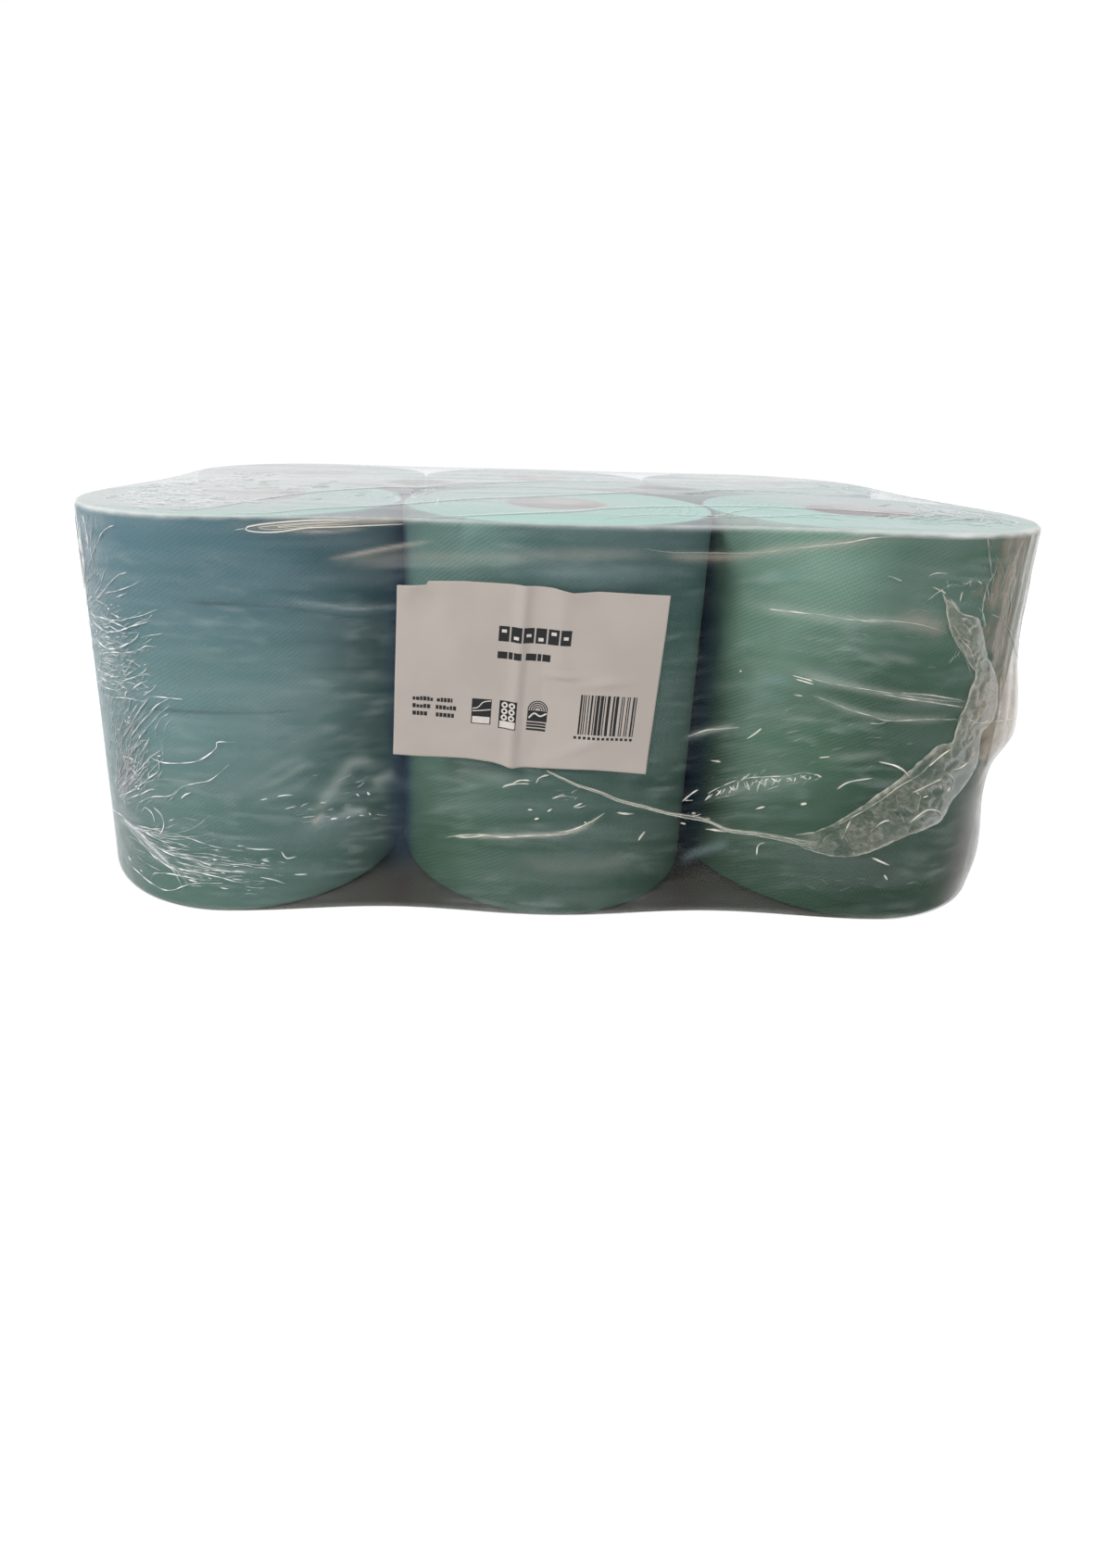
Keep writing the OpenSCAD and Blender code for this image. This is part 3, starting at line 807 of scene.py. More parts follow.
# Scattered short creases: middle, reach, count, direction and its spread in degrees, lengths, width, glint
SIDE_CLUSTERS = [
    ((-262, 200), (10, 18), 26, 66, 14, (10, 26), 0.5, 0.4),
    ((-286, 206), (14, 16), 34, 86, 7, (14, 44), 0.55, 0.9),
    ((-262, 213), (5, 9), 16, 60, 25, (4, 10), 0.6, 1.2),
    ((-256, 150), (22, 26), 190, 16, 20, (6, 20), 0.42, 0.9),
    ((-232, 158), (12, 22), 18, 26, 12, (5, 11), 0.5, 0.6),
    ((-246, 104), (22, 26), 170, 56, 12, (8, 24), 0.42, 0.9),
    ((-240, 92), (20, 22), 60, 60, 25, (2, 6), 0.55, 1.3),
    ((-248, 150), (20, 24), 70, 25, 30, (2, 5), 0.55, 1.3),
    ((-200, 30), (34, 12), 30, -6, 8, (3, 9), 0.55, 1.2),
    ((-250, 72), (12, 12), 40, 42, 22, (6, 18), 0.5, 0.55),
    ((-205, 34), (30, 9), 44, -7, 6, (8, 34), 0.5, 0.7),
    ((-205, 50), (26, 8), 12, 20, 12, (5, 14), 0.45, 0.4),
    ((-172, 22), (40, 8), 16, -3, 5, (6, 20), 0.5, 0.5),
    ((-132, 66), (24, 7), 18, 14, 16, (4, 12), 0.6, 0.55),
    ((-118, 84), (16, 6), 8, 18, 16, (4, 10), 0.6, 0.4),
    ((8, 78), (14, 6), 9, 18, 16, (3, 9), 0.5, 0.6),
    ((112, 90), (24, 3), 26, 48, 26, (3, 8), 0.65, 0.75),
    ((78, 66), (12, 3), 14, 10, 50, (2, 6), 0.55, 0.7),
    ((140, 116), (40, 22), 18, 14, 14, (4, 12), 0.6, 0.3),
    ((150, 168), (40, 14), 14, 6, 8, (5, 14), 0.8, 0.22),
    ((205, 200), (12, 8), 14, 20, 50, (3, 9), 0.5, 0.55),
    ((212, 172), (7, 12), 20, -50, 35, (4, 12), 0.5, 0.5),
    ((268, 190), (34, 36), 34, 88, 5, (26, 70), 1.1, 0.2),
    ((240, 205), (12, 14), 18, 84, 7, (10, 30), 1.1, 0.4),
    ((255, 130), (18, 20), 16, 80, 14, (12, 40), 1.2, 0.22),
    ((180, 24), (40, 8), 10, -12, 14, (4, 12), 0.5, 0.22),
]


class Creases:
    """Thin folds standing on a film: each a narrow tent whose feet sink just under it, with a painted
    highlight on its crest and painted shade on its near flank.
    """

    ACROSS = np.array([-1.0, -0.45, 0.0, 0.45, 1.0])

    def __init__(self, place, shadow=0.06):
        self.place, self.shadow = place, shadow
        self.points, self.looks, self.faces = [], [], []
        self.total = 0

    def add(self, points, width, height, glint, tone, phase, breaks, sharp=0.5):
        """A fold along a line; breaks is how much of its shine comes and goes, sharp how soon it is full."""
        p = curve(points, 6)
        length = lengths_along(p)[-1]
        if length < 0.5:
            return
        n = int(np.clip(length / 1.3, 5, 90))
        at, p = cut_evenly(p, n)
        side = left_of(p)
        if side[:, 1].sum() < 0:
            side = -side
        t = at / at[-1]
        taper = np.clip(4 * t * (1 - t), 0, 1) ** sharp
        uneven = 1 + breaks * (0.5 * np.sin(at / 2.1 + phase) + 0.3 * np.sin(at / 0.9 + 2.3 * phase) - 0.5)
        w = width * (0.35 + 0.65 * taper) * uneven
        q = p[:, None] + side[:, None] * (w[:, None] * self.ACROSS[None])[..., None]
        h = height * taper * uneven
        lift = np.stack([-0.08 + 0 * h, 0.6 * h, h, 0.55 * h, -0.08 + 0 * h], -1)
        self.points.append(self.place(q[..., 0].ravel(), q[..., 1].ravel(), lift.ravel()))
        wave = np.sin(at / 2.7 + phase) * np.sin(at / 6.3 + 1.7 * phase + 1)
        shine = glint * taper ** 0.6 * np.clip(1 - breaks * (0.5 - 0.9 * wave), 0.05, 1.25)
        look = np.zeros((n, 5, 4))
        look[..., :3] = np.array(tone)
        # Painted shade on the near flank; the crest and far flank carry the painted highlight
        near = np.array(tone) * self.shadow + (1 - self.shadow) * np.array([0.0, 0.03, 0.035])
        look[:, 0, :3] = look[:, 1, :3] = near
        look[:, 0, 3] = 0
        look[:, 1, 3] = 0.55 * np.minimum(shine, 0.9)
        look[:, 2, 3] = shine
        look[:, 3, 3] = 0.75 * shine
        look[:, 4, 3] = 0
        self.looks.append(np.clip(look, 0, 1).reshape(-1, 4))
        base = self.total
        self.faces += [[i + base for i in f] for f in grid_faces(n, 5)]
        self.total += 5 * n

    def scatter(self, rng, clusters):
        """Short creases about the middles of clusters, warm right of the label and white elsewhere."""
        for middle, reach, count, turn, spread, lengths, width, glint in clusters:
            for _ in range(count):
                u, v = near_middle(rng, middle, reach)
                a = math.radians(turn + rng.normal(0, spread))
                bend = rng.normal(0, 0.3)
                length = lengths[0] + (lengths[1] - lengths[0]) * rng.random() ** 1.6
                line = bent_line(u, v, length, a, bend)
                warm = CREAM if u > 60 else WHITE
                self.add(line, width * rng.uniform(0.7, 1.4), 0.4 * rng.uniform(0.4, 1.4),
                         glint * rng.uniform(0.25, 1.1), warm, rng.uniform(0, 6), 0.6)

    def fan(self, rng, focus, start, turns, count, lengths, width, glint, height=0.35):
        """Creases that spread from a focus, beginning a little way off it."""
        for _ in range(count):
            a = math.radians(rng.uniform(*turns))
            r0 = rng.uniform(*start)
            t = np.linspace(0, 1, 6)
            r = r0 + rng.uniform(*lengths) * t
            aa = a + rng.normal(0, 0.14) * t * t
            pts = np.stack([focus[0] + r * np.cos(aa), focus[1] + r * np.sin(aa)], -1)
            self.add(pts, width * rng.uniform(0.7, 1.4), height * rng.uniform(0.5, 1.4),
                     glint * rng.uniform(0.3, 1.1), WHITE, rng.uniform(0, 6), 0.6)

    def done(self, name, mat, slot="film"):
        points, look = np.concatenate(self.points), np.concatenate(self.looks)
        return add_mesh(name, points, self.faces, mat, look=look)


def on_side(u, v, out):
    """The place of a crease's point on the side wall, at its stand-off from the film."""
    return film_point(u, np.clip(v, 1.5, FILM_TOP - 1.5), broad_lift(u, v) + out)


def broad_lift(u, v):
    """Slow undulation of the drawn film, lengthwise for the most part."""
    u, v = np.asarray(u, float), np.asarray(v, float)
    w = 0.10 * np.sin(u / 47 + v / 9) + 0.07 * np.sin(u / 71 - v / 4.6 + 2)
    w = w + 0.05 * np.sin(u / 23 + v / 13 + 1)
    right = smooth_step((u - 214) / 20) * smooth_step((CORNER_END + 160 - u) / 60)
    right = right * smooth_step((v - 70) / 60)
    right = right * (1 - 0.75 * smooth_step((u - 284) / 26))
    w = w + right * (0.22 * np.sin(u / 3.4 + v / 60) + 0.14 * np.sin(u / 1.9 - v / 45))
    return np.clip(w + 0.12, -0.1, 1.0) * smooth_step(v / 5) * smooth_step((FILM_TOP - v) / 4)


def crinkled_patch(c, rng):
    """Bowed rungs between the patch's edges, and the edges themselves."""
    upper, lower = even(CRINKLE_UPPER, 34), even(CRINKLE_LOWER, 34)
    for k in range(1, 33):
        a, b = rng.uniform(0.0, 0.35), rng.uniform(0.5, 1.0)
        j = min(33, max(0, k + (1, -2, -1, 2)[k % 4]))
        p0, p1 = upper[k] * (1 - a) + lower[k] * a, upper[j] * (1 - b) + lower[j] * b
        bow = (p0 + p1) / 2 + rng.normal(0, 0.6, 2)
        c.add([p0, bow, p1], rng.uniform(0.45, 0.8), 0.6, rng.uniform(0.55, 1.15), IVORY, k, 0.3, 0.6)
    c.add(upper, 0.6, 0.5, 0.8, IVORY, 0.4, 0.7, 0.3)
    c.add(lower, 0.45, 0.4, 0.4, IVORY, 2.4, 0.9, 0.3)


def front_creases(rng, mat):
    """The traced creases of the front and the scattered ones between them."""
    c = Creases(on_side)
    for k, pts in enumerate(LEFT_CREASES):
        c.add(pts, 0.60 * rng.uniform(0.8, 1.4), 0.5, rng.uniform(0.8, 1.4), WHITE, 1.3 * k, 0.6, 0.4)
    for k, pts in enumerate(MIDDLE_CREASES + RIGHT_ROLL_CREASES):
        high = min(v for _, v in pts) > 200
        in_crinkle = 83 < pts[0][0] < 141 and 74 < pts[0][1] < 95
        width = (1.2 if in_crinkle else 0.85) * rng.uniform(0.8, 1.4)
        glint = rng.uniform(0.7, 1.3) * (0.3 if high else 1.0)
        c.add(pts, width, 0.55, glint, CREAM, 1.3 * k, 0.1 if high else 0.4, 0.4)
    for k, pts in enumerate(RIGHT_CREASES):
        c.add(pts, 0.6 * rng.uniform(0.8, 1.4), 0.5, rng.uniform(0.5, 0.85), CREAM, 1.3 * k, 0.4, 0.4)
    widths, glints = (0.75, 0.5, 0.45, 0.5), (0.95, 0.6, 0.7, 0.5)
    for k, pts in enumerate(COMET_CREASES):
        c.add(pts, widths[k], 0.3, glints[k], (0.95, 0.90, 0.80), 1.3 * k, 0.0, 0.3)
    for k, pts in enumerate(LEFT_GLINTS):
        c.add(pts, 0.75 * rng.uniform(0.8, 1.3), 0.5, rng.uniform(0.7, 1.1), WHITE, 1.7 * k, 0.3, 0.6)
    crinkled_patch(c, rng)
    c.scatter(rng, SIDE_CLUSTERS)
    c.fan(rng, (-289, 176), (4, 20), (30, 72), 22, (10, 34), 0.45, 0.5)
    c.fan(rng, (-268, 52), (6, 30), (38, 78), 64, (14, 46), 0.55, 0.7)
    c.fan(rng, (-262, 46), (6, 26), (-30, 6), 34, (14, 50), 0.5, 0.6)
    c.done("film_creases", mat)


def end_creases(rng, mat):
    """The ends gather towards their middles, where the tube of film was drawn together."""
    c = Creases(on_side)
    for sign in (-1, 1):
        middle = (sign * END_MIDDLE, END_HEIGHT)
        c.fan(rng, middle, (10, 56), (0, 360), 110, (18, 70), 0.8, 0.34, 0.5)
        c.fan(rng, middle, (3, 14), (0, 360), 46, (6, 26), 1.0, 0.5, 0.8)
        c.scatter(rng, [(middle, (64, 60), 60, 90 + 20 * sign, 50, (6, 20), 0.6, 0.4)])
    c.done("film_creases_ends", mat)


def back_creases(rng, mat):
    """On the back long folds run from end to end, with short creases among them."""
    c = Creases(on_side)
    for sign in (-1, 1):
        c.scatter(rng, [
            ((sign * (HALF_LOOP - 120), 120), (110, 80), 46, 3, 6, (30, 120), 0.9, 0.35),
            ((sign * (HALF_LOOP - 200), 110), (50, 70), 70, 20, 30, (8, 26), 0.6, 0.5),
            ((sign * (HALF_LOOP - 60), 60), (60, 30), 24, 10, 20, (6, 18), 0.6, 0.5),
        ])
    c.done("film_creases_back", mat)


def side_creases(mat):
    """All the thin creases of the side wall, drawn from one run of random numbers."""
    rng = np.random.default_rng(7)
    front_creases(rng, mat)
    end_creases(rng, mat)
    back_creases(rng, mat)


def crease_sides(field):
    """The broad soft bands of the sides: painted highlight and reflection streaks and painted shadow lines,
    over a slight real lift.
    """
    for pts, w, lift, glint, veil, tone, ends in PAINTED_SIDE_BANDS:
        field.stroke(curve(pts), w, lift, glint, veil, tone, ends)


def warm_corner(field, rng, u, v, small):
    """Round the right corner two layers lie together, with long soft streaks."""
    heights = [0, 60, 84, 100, 120, 137, 160, 175, 190, 231]
    bound = np.interp(v, heights, [262, 262, 250, 236, 224, 222, 226, 222, 214, 212])
    right = smooth_step((u - bound + 9 * small) / 18)
    corner = right * (1 - smooth_step((u - 322) / 46))
    streak = loop_noise(rng, u, v, 4.5, 70)
    upper = smooth_step((v - 140) / 50)
    amount = corner * (0.52 + 0.24 * streak + 0.06 * small)
    field.cover(amount * (1 - upper), (0.42, 0.31, 0.205))
    field.cover(amount * upper, (0.26, 0.205, 0.135))
    beyond = smooth_step((u - 330) / 46) * smooth_step((BACK_START + 130 - u) / 120)
    field.cover(beyond * (0.20 + 0.07 * streak + 0.08 * small), (0.62, 0.64, 0.61))
    # Painted shade low on the corner, near the floor
    foot = smooth_step((u - 222) / 40) * (1 - smooth_step((v - 60) / 60)) * (1 - smooth_step((u - 330) / 50))
    field.cover(foot * 0.6, (0.095, 0.080, 0.052))


def gather_end(field, rng, du, dv):
    """Each end is drawn together towards its middle; du and dv are the distances from it."""
    reach, turn = np.hypot(du, dv), np.arctan2(dv, du)
    rays = smooth_noise(rng, 2.6 * np.cos(turn), 2.6 * np.sin(turn), reach / 70 + 2)
    fine_rays = smooth_noise(rng, 8 * np.cos(turn), 8 * np.sin(turn), reach / 45 + 5)
    near = bell(reach, 0, 66)
    field.cover(np.clip(near * (0.14 + 0.34 * rays + 0.24 * fine_rays), 0, 0.8), (0.66, 0.70, 0.69))
    field.lift += near * (1.0 * rays + 0.5 * fine_rays) * smooth_step(reach / 14)
    field.lift += 1.5 * bell(reach, 8, 4)


def veil_sides(field):
    """The film's milky cast: cool on the left, warm round the right corner, gathered at the ends."""
    rng = np.random.default_rng(11)
    v = field.v
    u = (field.u + HALF_LOOP) % (2 * HALF_LOOP) - HALF_LOOP
    # Over the hollows between rolls the film touches nothing and stays clear
    off_middle = np.abs(u)
    nearer = np.minimum(off_middle, HALF_LOOP - off_middle)
    free = 1 - 0.8 * bell(off_middle, 80, 17) - 0.6 * bell(HALF_LOOP - off_middle, PITCH / 2, 18)
    free = free * (1 - 0.85 * smooth_step((56 - v) / 40) * bell(nearer, 94, 36))
    long, fine = loop_noise(rng, u, v, 90, 9), loop_noise(rng, u, v, 34, 4)
    patch, small = loop_noise(rng, u, v, 60, 45), loop_noise(rng, u, v, 9, 7)
    field.cover(free * (0.03 + 0.03 * patch + 0.03 * long + 0.02 * fine), COOL)
    # Painted soft streaks of highlight wander over the film
    wander = loop_noise(rng, u, v + 4 * np.sin(u / 30), 15, 3.6)
    wisp_sheen = np.clip(wander, 0, 1) * np.clip(0.5 + loop_noise(rng, u, v, 40, 26), 0, 1.2)
    field.cover(0.15 * free * wisp_sheen, (0.50, 0.60, 0.57))
    # A little painted blue light fills the hollow right of the left roll
    field.cover(0.13 * bell(u, -87, 9) * smooth_step((v - 14) / 30), (0.09, 0.18, 0.28))
    # The left corner is milky, most of all low down
    left = smooth_step((-u - 226) / 50) * smooth_step((BACK_START + 130 + u) / 120)
    field.cover(left * (0.16 + 0.05 * fine + 0.06 * small), COOL)
    low_left = smooth_step((-u - 232) / 40) * smooth_step((BACK_START + 60 + u) / 120)
    low_left = low_left * smooth_step((90 - v) / 60)
    field.cover(low_left * (0.16 + 0.08 * small), (0.42, 0.40, 0.36))
    warm_corner(field, rng, u, v, small)
    for sign in (-1, 1):
        gather_end(field, rng, u - sign * END_MIDDLE, v - END_HEIGHT)
    rim = smooth_step((v - (FILM_TOP - 1.9)) / 1.2)
    field.cover(rim * (0.72 - 0.34 * bell(u, 0, 110) + 0.1 * long), (0.72, 0.73, 0.71))
    # Painted highlight along the top rim
    rim_highlight = bell(v, FILM_TOP - 1.6, 1.0) * (0.35 + 0.65 * smooth_step((np.abs(u) - 110) / 60))
    field.cover(rim_highlight * (0.26 + 0.25 * long + 0.16 * small), WHITE)
    # Painted highlight along the foot
    foot_highlight = bell(v, 2.0, 2.0)
    field.cover(foot_highlight * (0.2 + 0.08 * fine + 0.05 * small), (0.5, 0.5, 0.46))


def film_side(name, start, end, cols, rows, mat):
    """One stretch of the film's side wall, from the floor's edge to the top's, rims included."""
    s = np.linspace(start, end, cols)
    arc = np.radians(np.linspace(90, 0, 5))[:-1]
    low = [(0.02 + RIM - RIM * math.sin(a), RIM - RIM * math.cos(a)) for a in arc]
    z = np.linspace(RIM + 0.02, FILM_TOP - RIM, rows)
    profile = np.array(low + [(q, 0.0) for q in z] + [(FILM_TOP + 0.02 - a[0], a[1]) for a in low[::-1]])
    u, v = np.meshgrid(s, profile[:, 0], indexing="ij")
    inset = np.broadcast_to(profile[:, 1], u.shape)
    field = Field(u, v)
    veil_sides(field)
    crease_sides(field)
    fade = smooth_step(v / 4) * smooth_step((FILM_TOP - v) / 3)
    lift = np.clip(field.lift, -0.15, 2.2) * fade + broad_lift(u, v)
    pts = film_point(u, v, lift - inset).reshape(-1, 3)
    look = field.look().reshape(-1, 4)
    return add_mesh(name, pts, grid_faces(cols, len(profile)), mat, look=look)


# The film's top and base

HAZE = (0.60, 0.595, 0.58)
FIRST_FOLD = [
    (-196, -184), (-175, -183), (-157, -179), (-142, -160), (-122, -147), (-97, -132), (-61, -96),
    (-20, -71), (18, -46), (70, -20), (130, 10),
]
SECOND_FOLD = [
    (-220, -172), (-205, -176), (-196, -172), (-186, -151), (-174, -116), (-160, -81), (-140, -54),
    (-109, -25), (-69, 6), (-10, 40), (60, 62),
]
FRONT_FOLD = [
    (-92, -190), (-75, -182), (-42, -163), (6, -140), (26, -122), (58, -107), (84, -99), (110, -92),
    (141, -90), (190, -104), (236, -130),
]
TOP_CREASES = [
    [(19, -165), (49, -146), (77, -145), (97, -144), (126, -136), (158, -125), (182, -135)],
    [(89, -20), (133, 9), (169, 14), (204, 4)],
    [(84, -149), (104, -121), (127, -101), (138, -115)],
    [(211, -130), (234, -111), (250, -103)],
    [(207, -150), (228, -134), (236, -139)],
    [(240, -117), (261, -106), (262, -127), (260, -148)],
    [(222, -160), (248, -143), (248, -162)],
    [(216, -107), (240, -95), (269, -63)],
    [(73, -157), (105, -146), (140, -137), (158, -150)],
    [(246, -101), (253, -124), (263, -137), (250, -154)],
    [(262, -88), (271, -103), (272, -112)],
    [(216, -150), (228, -156), (232, -164)],
    [(175, -88), (188, -103), (220, -105)],
]
TOP_CLUSTERS = [
    ((-250, -100), (26, 40), 120, 150, 34, (5, 22), 0.8, 0.9),
    ((-215, -140), (28, 26), 80, 165, 30, (6, 20), 0.8, 0.9),
    ((-240, 0), (34, 60), 60, 110, 34, (6, 26), 0.8, 0.5),
    ((-170, -60), (50, 60), 26, 30, 20, (6, 22), 0.8, 0.35),
    ((-90, -60), (14, 50), 14, 84, 8, (20, 60), 1.0, 0.3),
    ((250, -110), (18, 34), 30, 70, 24, (8, 30), 0.7, 0.6),
    ((225, -130), (26, 20), 26, 30, 20, (8, 30), 0.7, 0.6),
    ((255, 20), (20, 80), 30, 90, 25, (10, 36), 0.8, 0.4),
]


def top_sheet(cols, rows):
    """The flat grid inside the rim, in columns from its front edge to its back one."""
    s = np.linspace(-CORNER_END, CORNER_END, cols)
    front = film_point(s, np.full(cols, FILM_TOP), -RIM)
    back = front * np.array([1, -1, 1])
    t = np.linspace(0, 1, rows)
    pts = front[:, None] * (1 - t)[None, :, None] + back[:, None] * t[None, :, None]
    ends = []
    for sign, column in ((-1, pts[0]), (1, pts[-1])):
        line = film_point(sign * (CORNER_END + PITCH * t), np.full(rows, FILM_TOP), -RIM)
        ends.append(line - column)
    share = ((front[:, 0] - front[0, 0]) / (front[-1, 0] - front[0, 0]))[:, None, None]
    return pts + ends[0][None] * (1 - share) + ends[1][None] * share


def veil_top(field, rng):
    """Milk that grows behind each long fold, a warm left end and a warm patch over the right core."""
    x, y = field.u, field.v
    long = flat_noise(rng, x, y + 0.12 * x, 260, 30)
    fine = flat_noise(rng, x, y + 0.12 * x, 120, 9)
    patch = flat_noise(rng, x, y, 80, 60)
    folds = (FIRST_FOLD, SECOND_FOLD, FRONT_FOLD)
    first, second, near = (to_line(curve(fold, 5), x, y)[1] for fold in folds)
    milk = 0.06 + 0.20 * smooth_step(near / 4) + 0.17 * smooth_step(first / 5)
    milk += 0.20 * smooth_step(second / 5)
    milk += 0.12 * long + 0.07 * fine + 0.05 * patch + 0.16 * smooth_step((x - 120) / 70)
    field.cover(np.clip(milk, 0.02, 0.85), HAZE)
    field.cover(0.4 * spot(x / 40, (y + 92) / 34), HAZE)
    warm = bell(x, -230, 70) * np.clip(0.55 + 0.7 * long + 0.4 * fine, 0, 1)
    field.cover(0.5 * warm, (0.42, 0.41, 0.39))
    field.cover(0.5 * spot((x - 206) / 32, (y + 78) / 36), (0.22, 0.165, 0.155))
    for k in range(7):
        y0 = -50 + 36 * k + rng.uniform(-8, 8)
        left = (-230 + rng.uniform(0, 120), y0)
        middle = [(-60, y0 + rng.uniform(6, 24)), (90, y0 + rng.uniform(6, 30))]
        right = (240 - rng.uniform(0, 120), y0)
        width, veil = rng.uniform(5, 9), rng.uniform(0.2, 0.4)
        field.stroke(curve([left, *middle, right]), width, 0.5, 0.0, veil, WHITE, 0.3)
    field.lift += 0.22 * long


def top_hollows(x, y):
    """How far the top dips over the two hollows between four rolls."""
    dip = np.zeros_like(x)
    for middle in (-PITCH / 2, PITCH / 2):
        d = np.hypot(x - middle, y) / (PITCH / math.sqrt(2) - ROLL_R)
        dip += np.where(d < 1, (1 - d ** 2) ** 2, 0) * 2.0
    return dip


def top_creases(flat, rng, mat):
    """The long folds' edges in a painted highlight, the traced creases of the top and the scattered short
    ones.
    """
    tree = KDTree(len(flat))
    for k, p in enumerate(flat):
        tree.insert((p[0], p[1], 0), k)
    tree.balance()

    def on_top(u, v, out):
        z = [flat[tree.find((a, b, 0))[1]][2] for a, b in zip(u, v)]
        return np.stack([u, v, np.array(z) + out], -1)

    c = Creases(on_top, 0.9)
    for line, width, glint in ((FIRST_FOLD, 2.0, 0.8), (SECOND_FOLD, 2.0, 0.8), (FRONT_FOLD, 2.2, 0.85)):
        c.add(line[1:], width, 0.6, glint, WHITE, 0.7, 0.0, 0.25)
    for k, line in enumerate(TOP_CREASES):
        c.add(line, 1.2 * rng.uniform(0.8, 1.3), 0.6, rng.uniform(0.7, 1.1), WHITE, 1.3 * k, 0.4, 0.4)
    for middle, reach, count, turn, spread, lengths, width, glint in TOP_CLUSTERS:
        for _ in range(count):
            u, v = near_middle(rng, middle, reach)
            a = math.radians(turn + rng.normal(0, spread))
            length, bend = rng.uniform(*lengths), rng.normal(0, 0.25)
            line = bent_line(u, v, length, a, bend)
            if inside_top(*line.T):
                c.add(line, width * rng.uniform(0.9, 1.6), 0.8 * rng.uniform(0.4, 1.4),
                      glint * rng.uniform(0.5, 1.3), WHITE, rng.uniform(0, 6), 0.4)
    c.done("film_creases_top", mat)


def film_top(cols, rows, mat):
    """The film's top, drawn over the rolls in long folds from end to end."""
    pts = top_sheet(cols, rows)
    x, y = pts[..., 0], pts[..., 1]
    rng = np.random.default_rng(5)
    field = Field(x, y)
    veil_top(field, rng)
    column, t = np.arange(cols), np.linspace(0, 1, rows)
    edge = np.minimum(smooth_step(column / 6), smooth_step((cols - 1 - column) / 6))[:, None]
    edge = edge * smooth_step(t / 0.03)[None] * smooth_step((1 - t) / 0.03)[None]
    pts[..., 2] = FILM_TOP + (np.clip(field.lift, -0.25, 3.0) - top_hollows(x, y)) * edge
    flat = pts.reshape(-1, 3)
    add_mesh("film_top", flat, grid_faces(cols, rows), mat, look=field.look().reshape(-1, 4))
    top_creases(flat, rng, mat)


def inside_top(u, v):
    """Whether all of a line lies on the flat of the top, clear of its rim."""
    cx = np.clip(u, -PITCH, PITCH)
    cy = np.clip(v, -PITCH / 2, PITCH / 2)
    return bool(np.all(np.hypot(u - cx, v - cy) < FILM_R - SAG - RIM - 3))


def film_base(mat):
    """The film under the rolls: flat, an opaque painted shade of the shadowed floor beneath, and closed
    along the side walls' feet.
    """
    s = np.linspace(-HALF_LOOP, HALF_LOOP, 361)[:-1]
    rings = []
    for share in (1.0, 0.97, 0.8, 0.5, 0.2):
        p = film_point(s, np.full(len(s), 0.02), -RIM)
        p[:, :2] *= share
        rings.append(p)
    pts = np.concatenate(rings + [np.array([[0, 0, 0.02]])])
    n = len(s)
    faces = []
    for r in range(len(rings) - 1):
        for k in range(n):
            j = (k + 1) % n
            faces.append([r * n + k, (r + 1) * n + k, (r + 1) * n + j, r * n + j])
    last = (len(rings) - 1) * n
    faces += [[last + k, len(pts) - 1, last + (k + 1) % n] for k in range(n)]
    rng = np.random.default_rng(3)
    field = Field(pts[:, 0], pts[:, 1])
    tone = flat_noise(rng, pts[:, 0], pts[:, 1], 90, 60)
    # Painted shade: dark grey-brown for the floor in the pack's shadow
    field.cover(np.ones(len(pts)), (0.098, 0.088, 0.080))
    field.cover(0.10 + 0.08 * tone, (0.14, 0.13, 0.12))
    look = field.look()
    # Opaque even where the film's smear thins it
    look[:, 3] = 1.2
    return add_mesh("film_base", pts, faces, mat, look=look)


# The gathered seal

SEAL_UPPER = [
    (137, 56), (148, 59), (158, 65), (168, 73), (177, 82), (187, 91), (196, 101), (202, 107), (209, 114),
    (217, 115), (218, 123), (220, 132), (223, 144), (224, 154), (219, 159), (210, 170), (203, 178),
    (199, 185), (196, 194), (193, 200),
]
SEAL_LOWER = [
    (138, 50), (147, 46), (161, 43), (172, 44), (183, 48), (197, 56), (209, 60), (220, 64), (224, 69),
    (227, 77), (236, 85), (241, 94), (240, 105), (238, 117), (246, 124), (247, 137), (243, 150),
    (232, 162), (227, 170), (223, 179), (217, 186), (208, 188), (199, 197),
]
WELD = [(159, 64), (171, 73), (182, 82), (190, 90), (200, 97), (208, 108)]
STRAND = [
    (-8, 95), (2, 90), (11, 86), (23, 82), (34, 77), (48, 73), (61, 69), (71, 67), (85, 64), (98, 58),
    (115, 56), (132, 53), (149, 50),
]


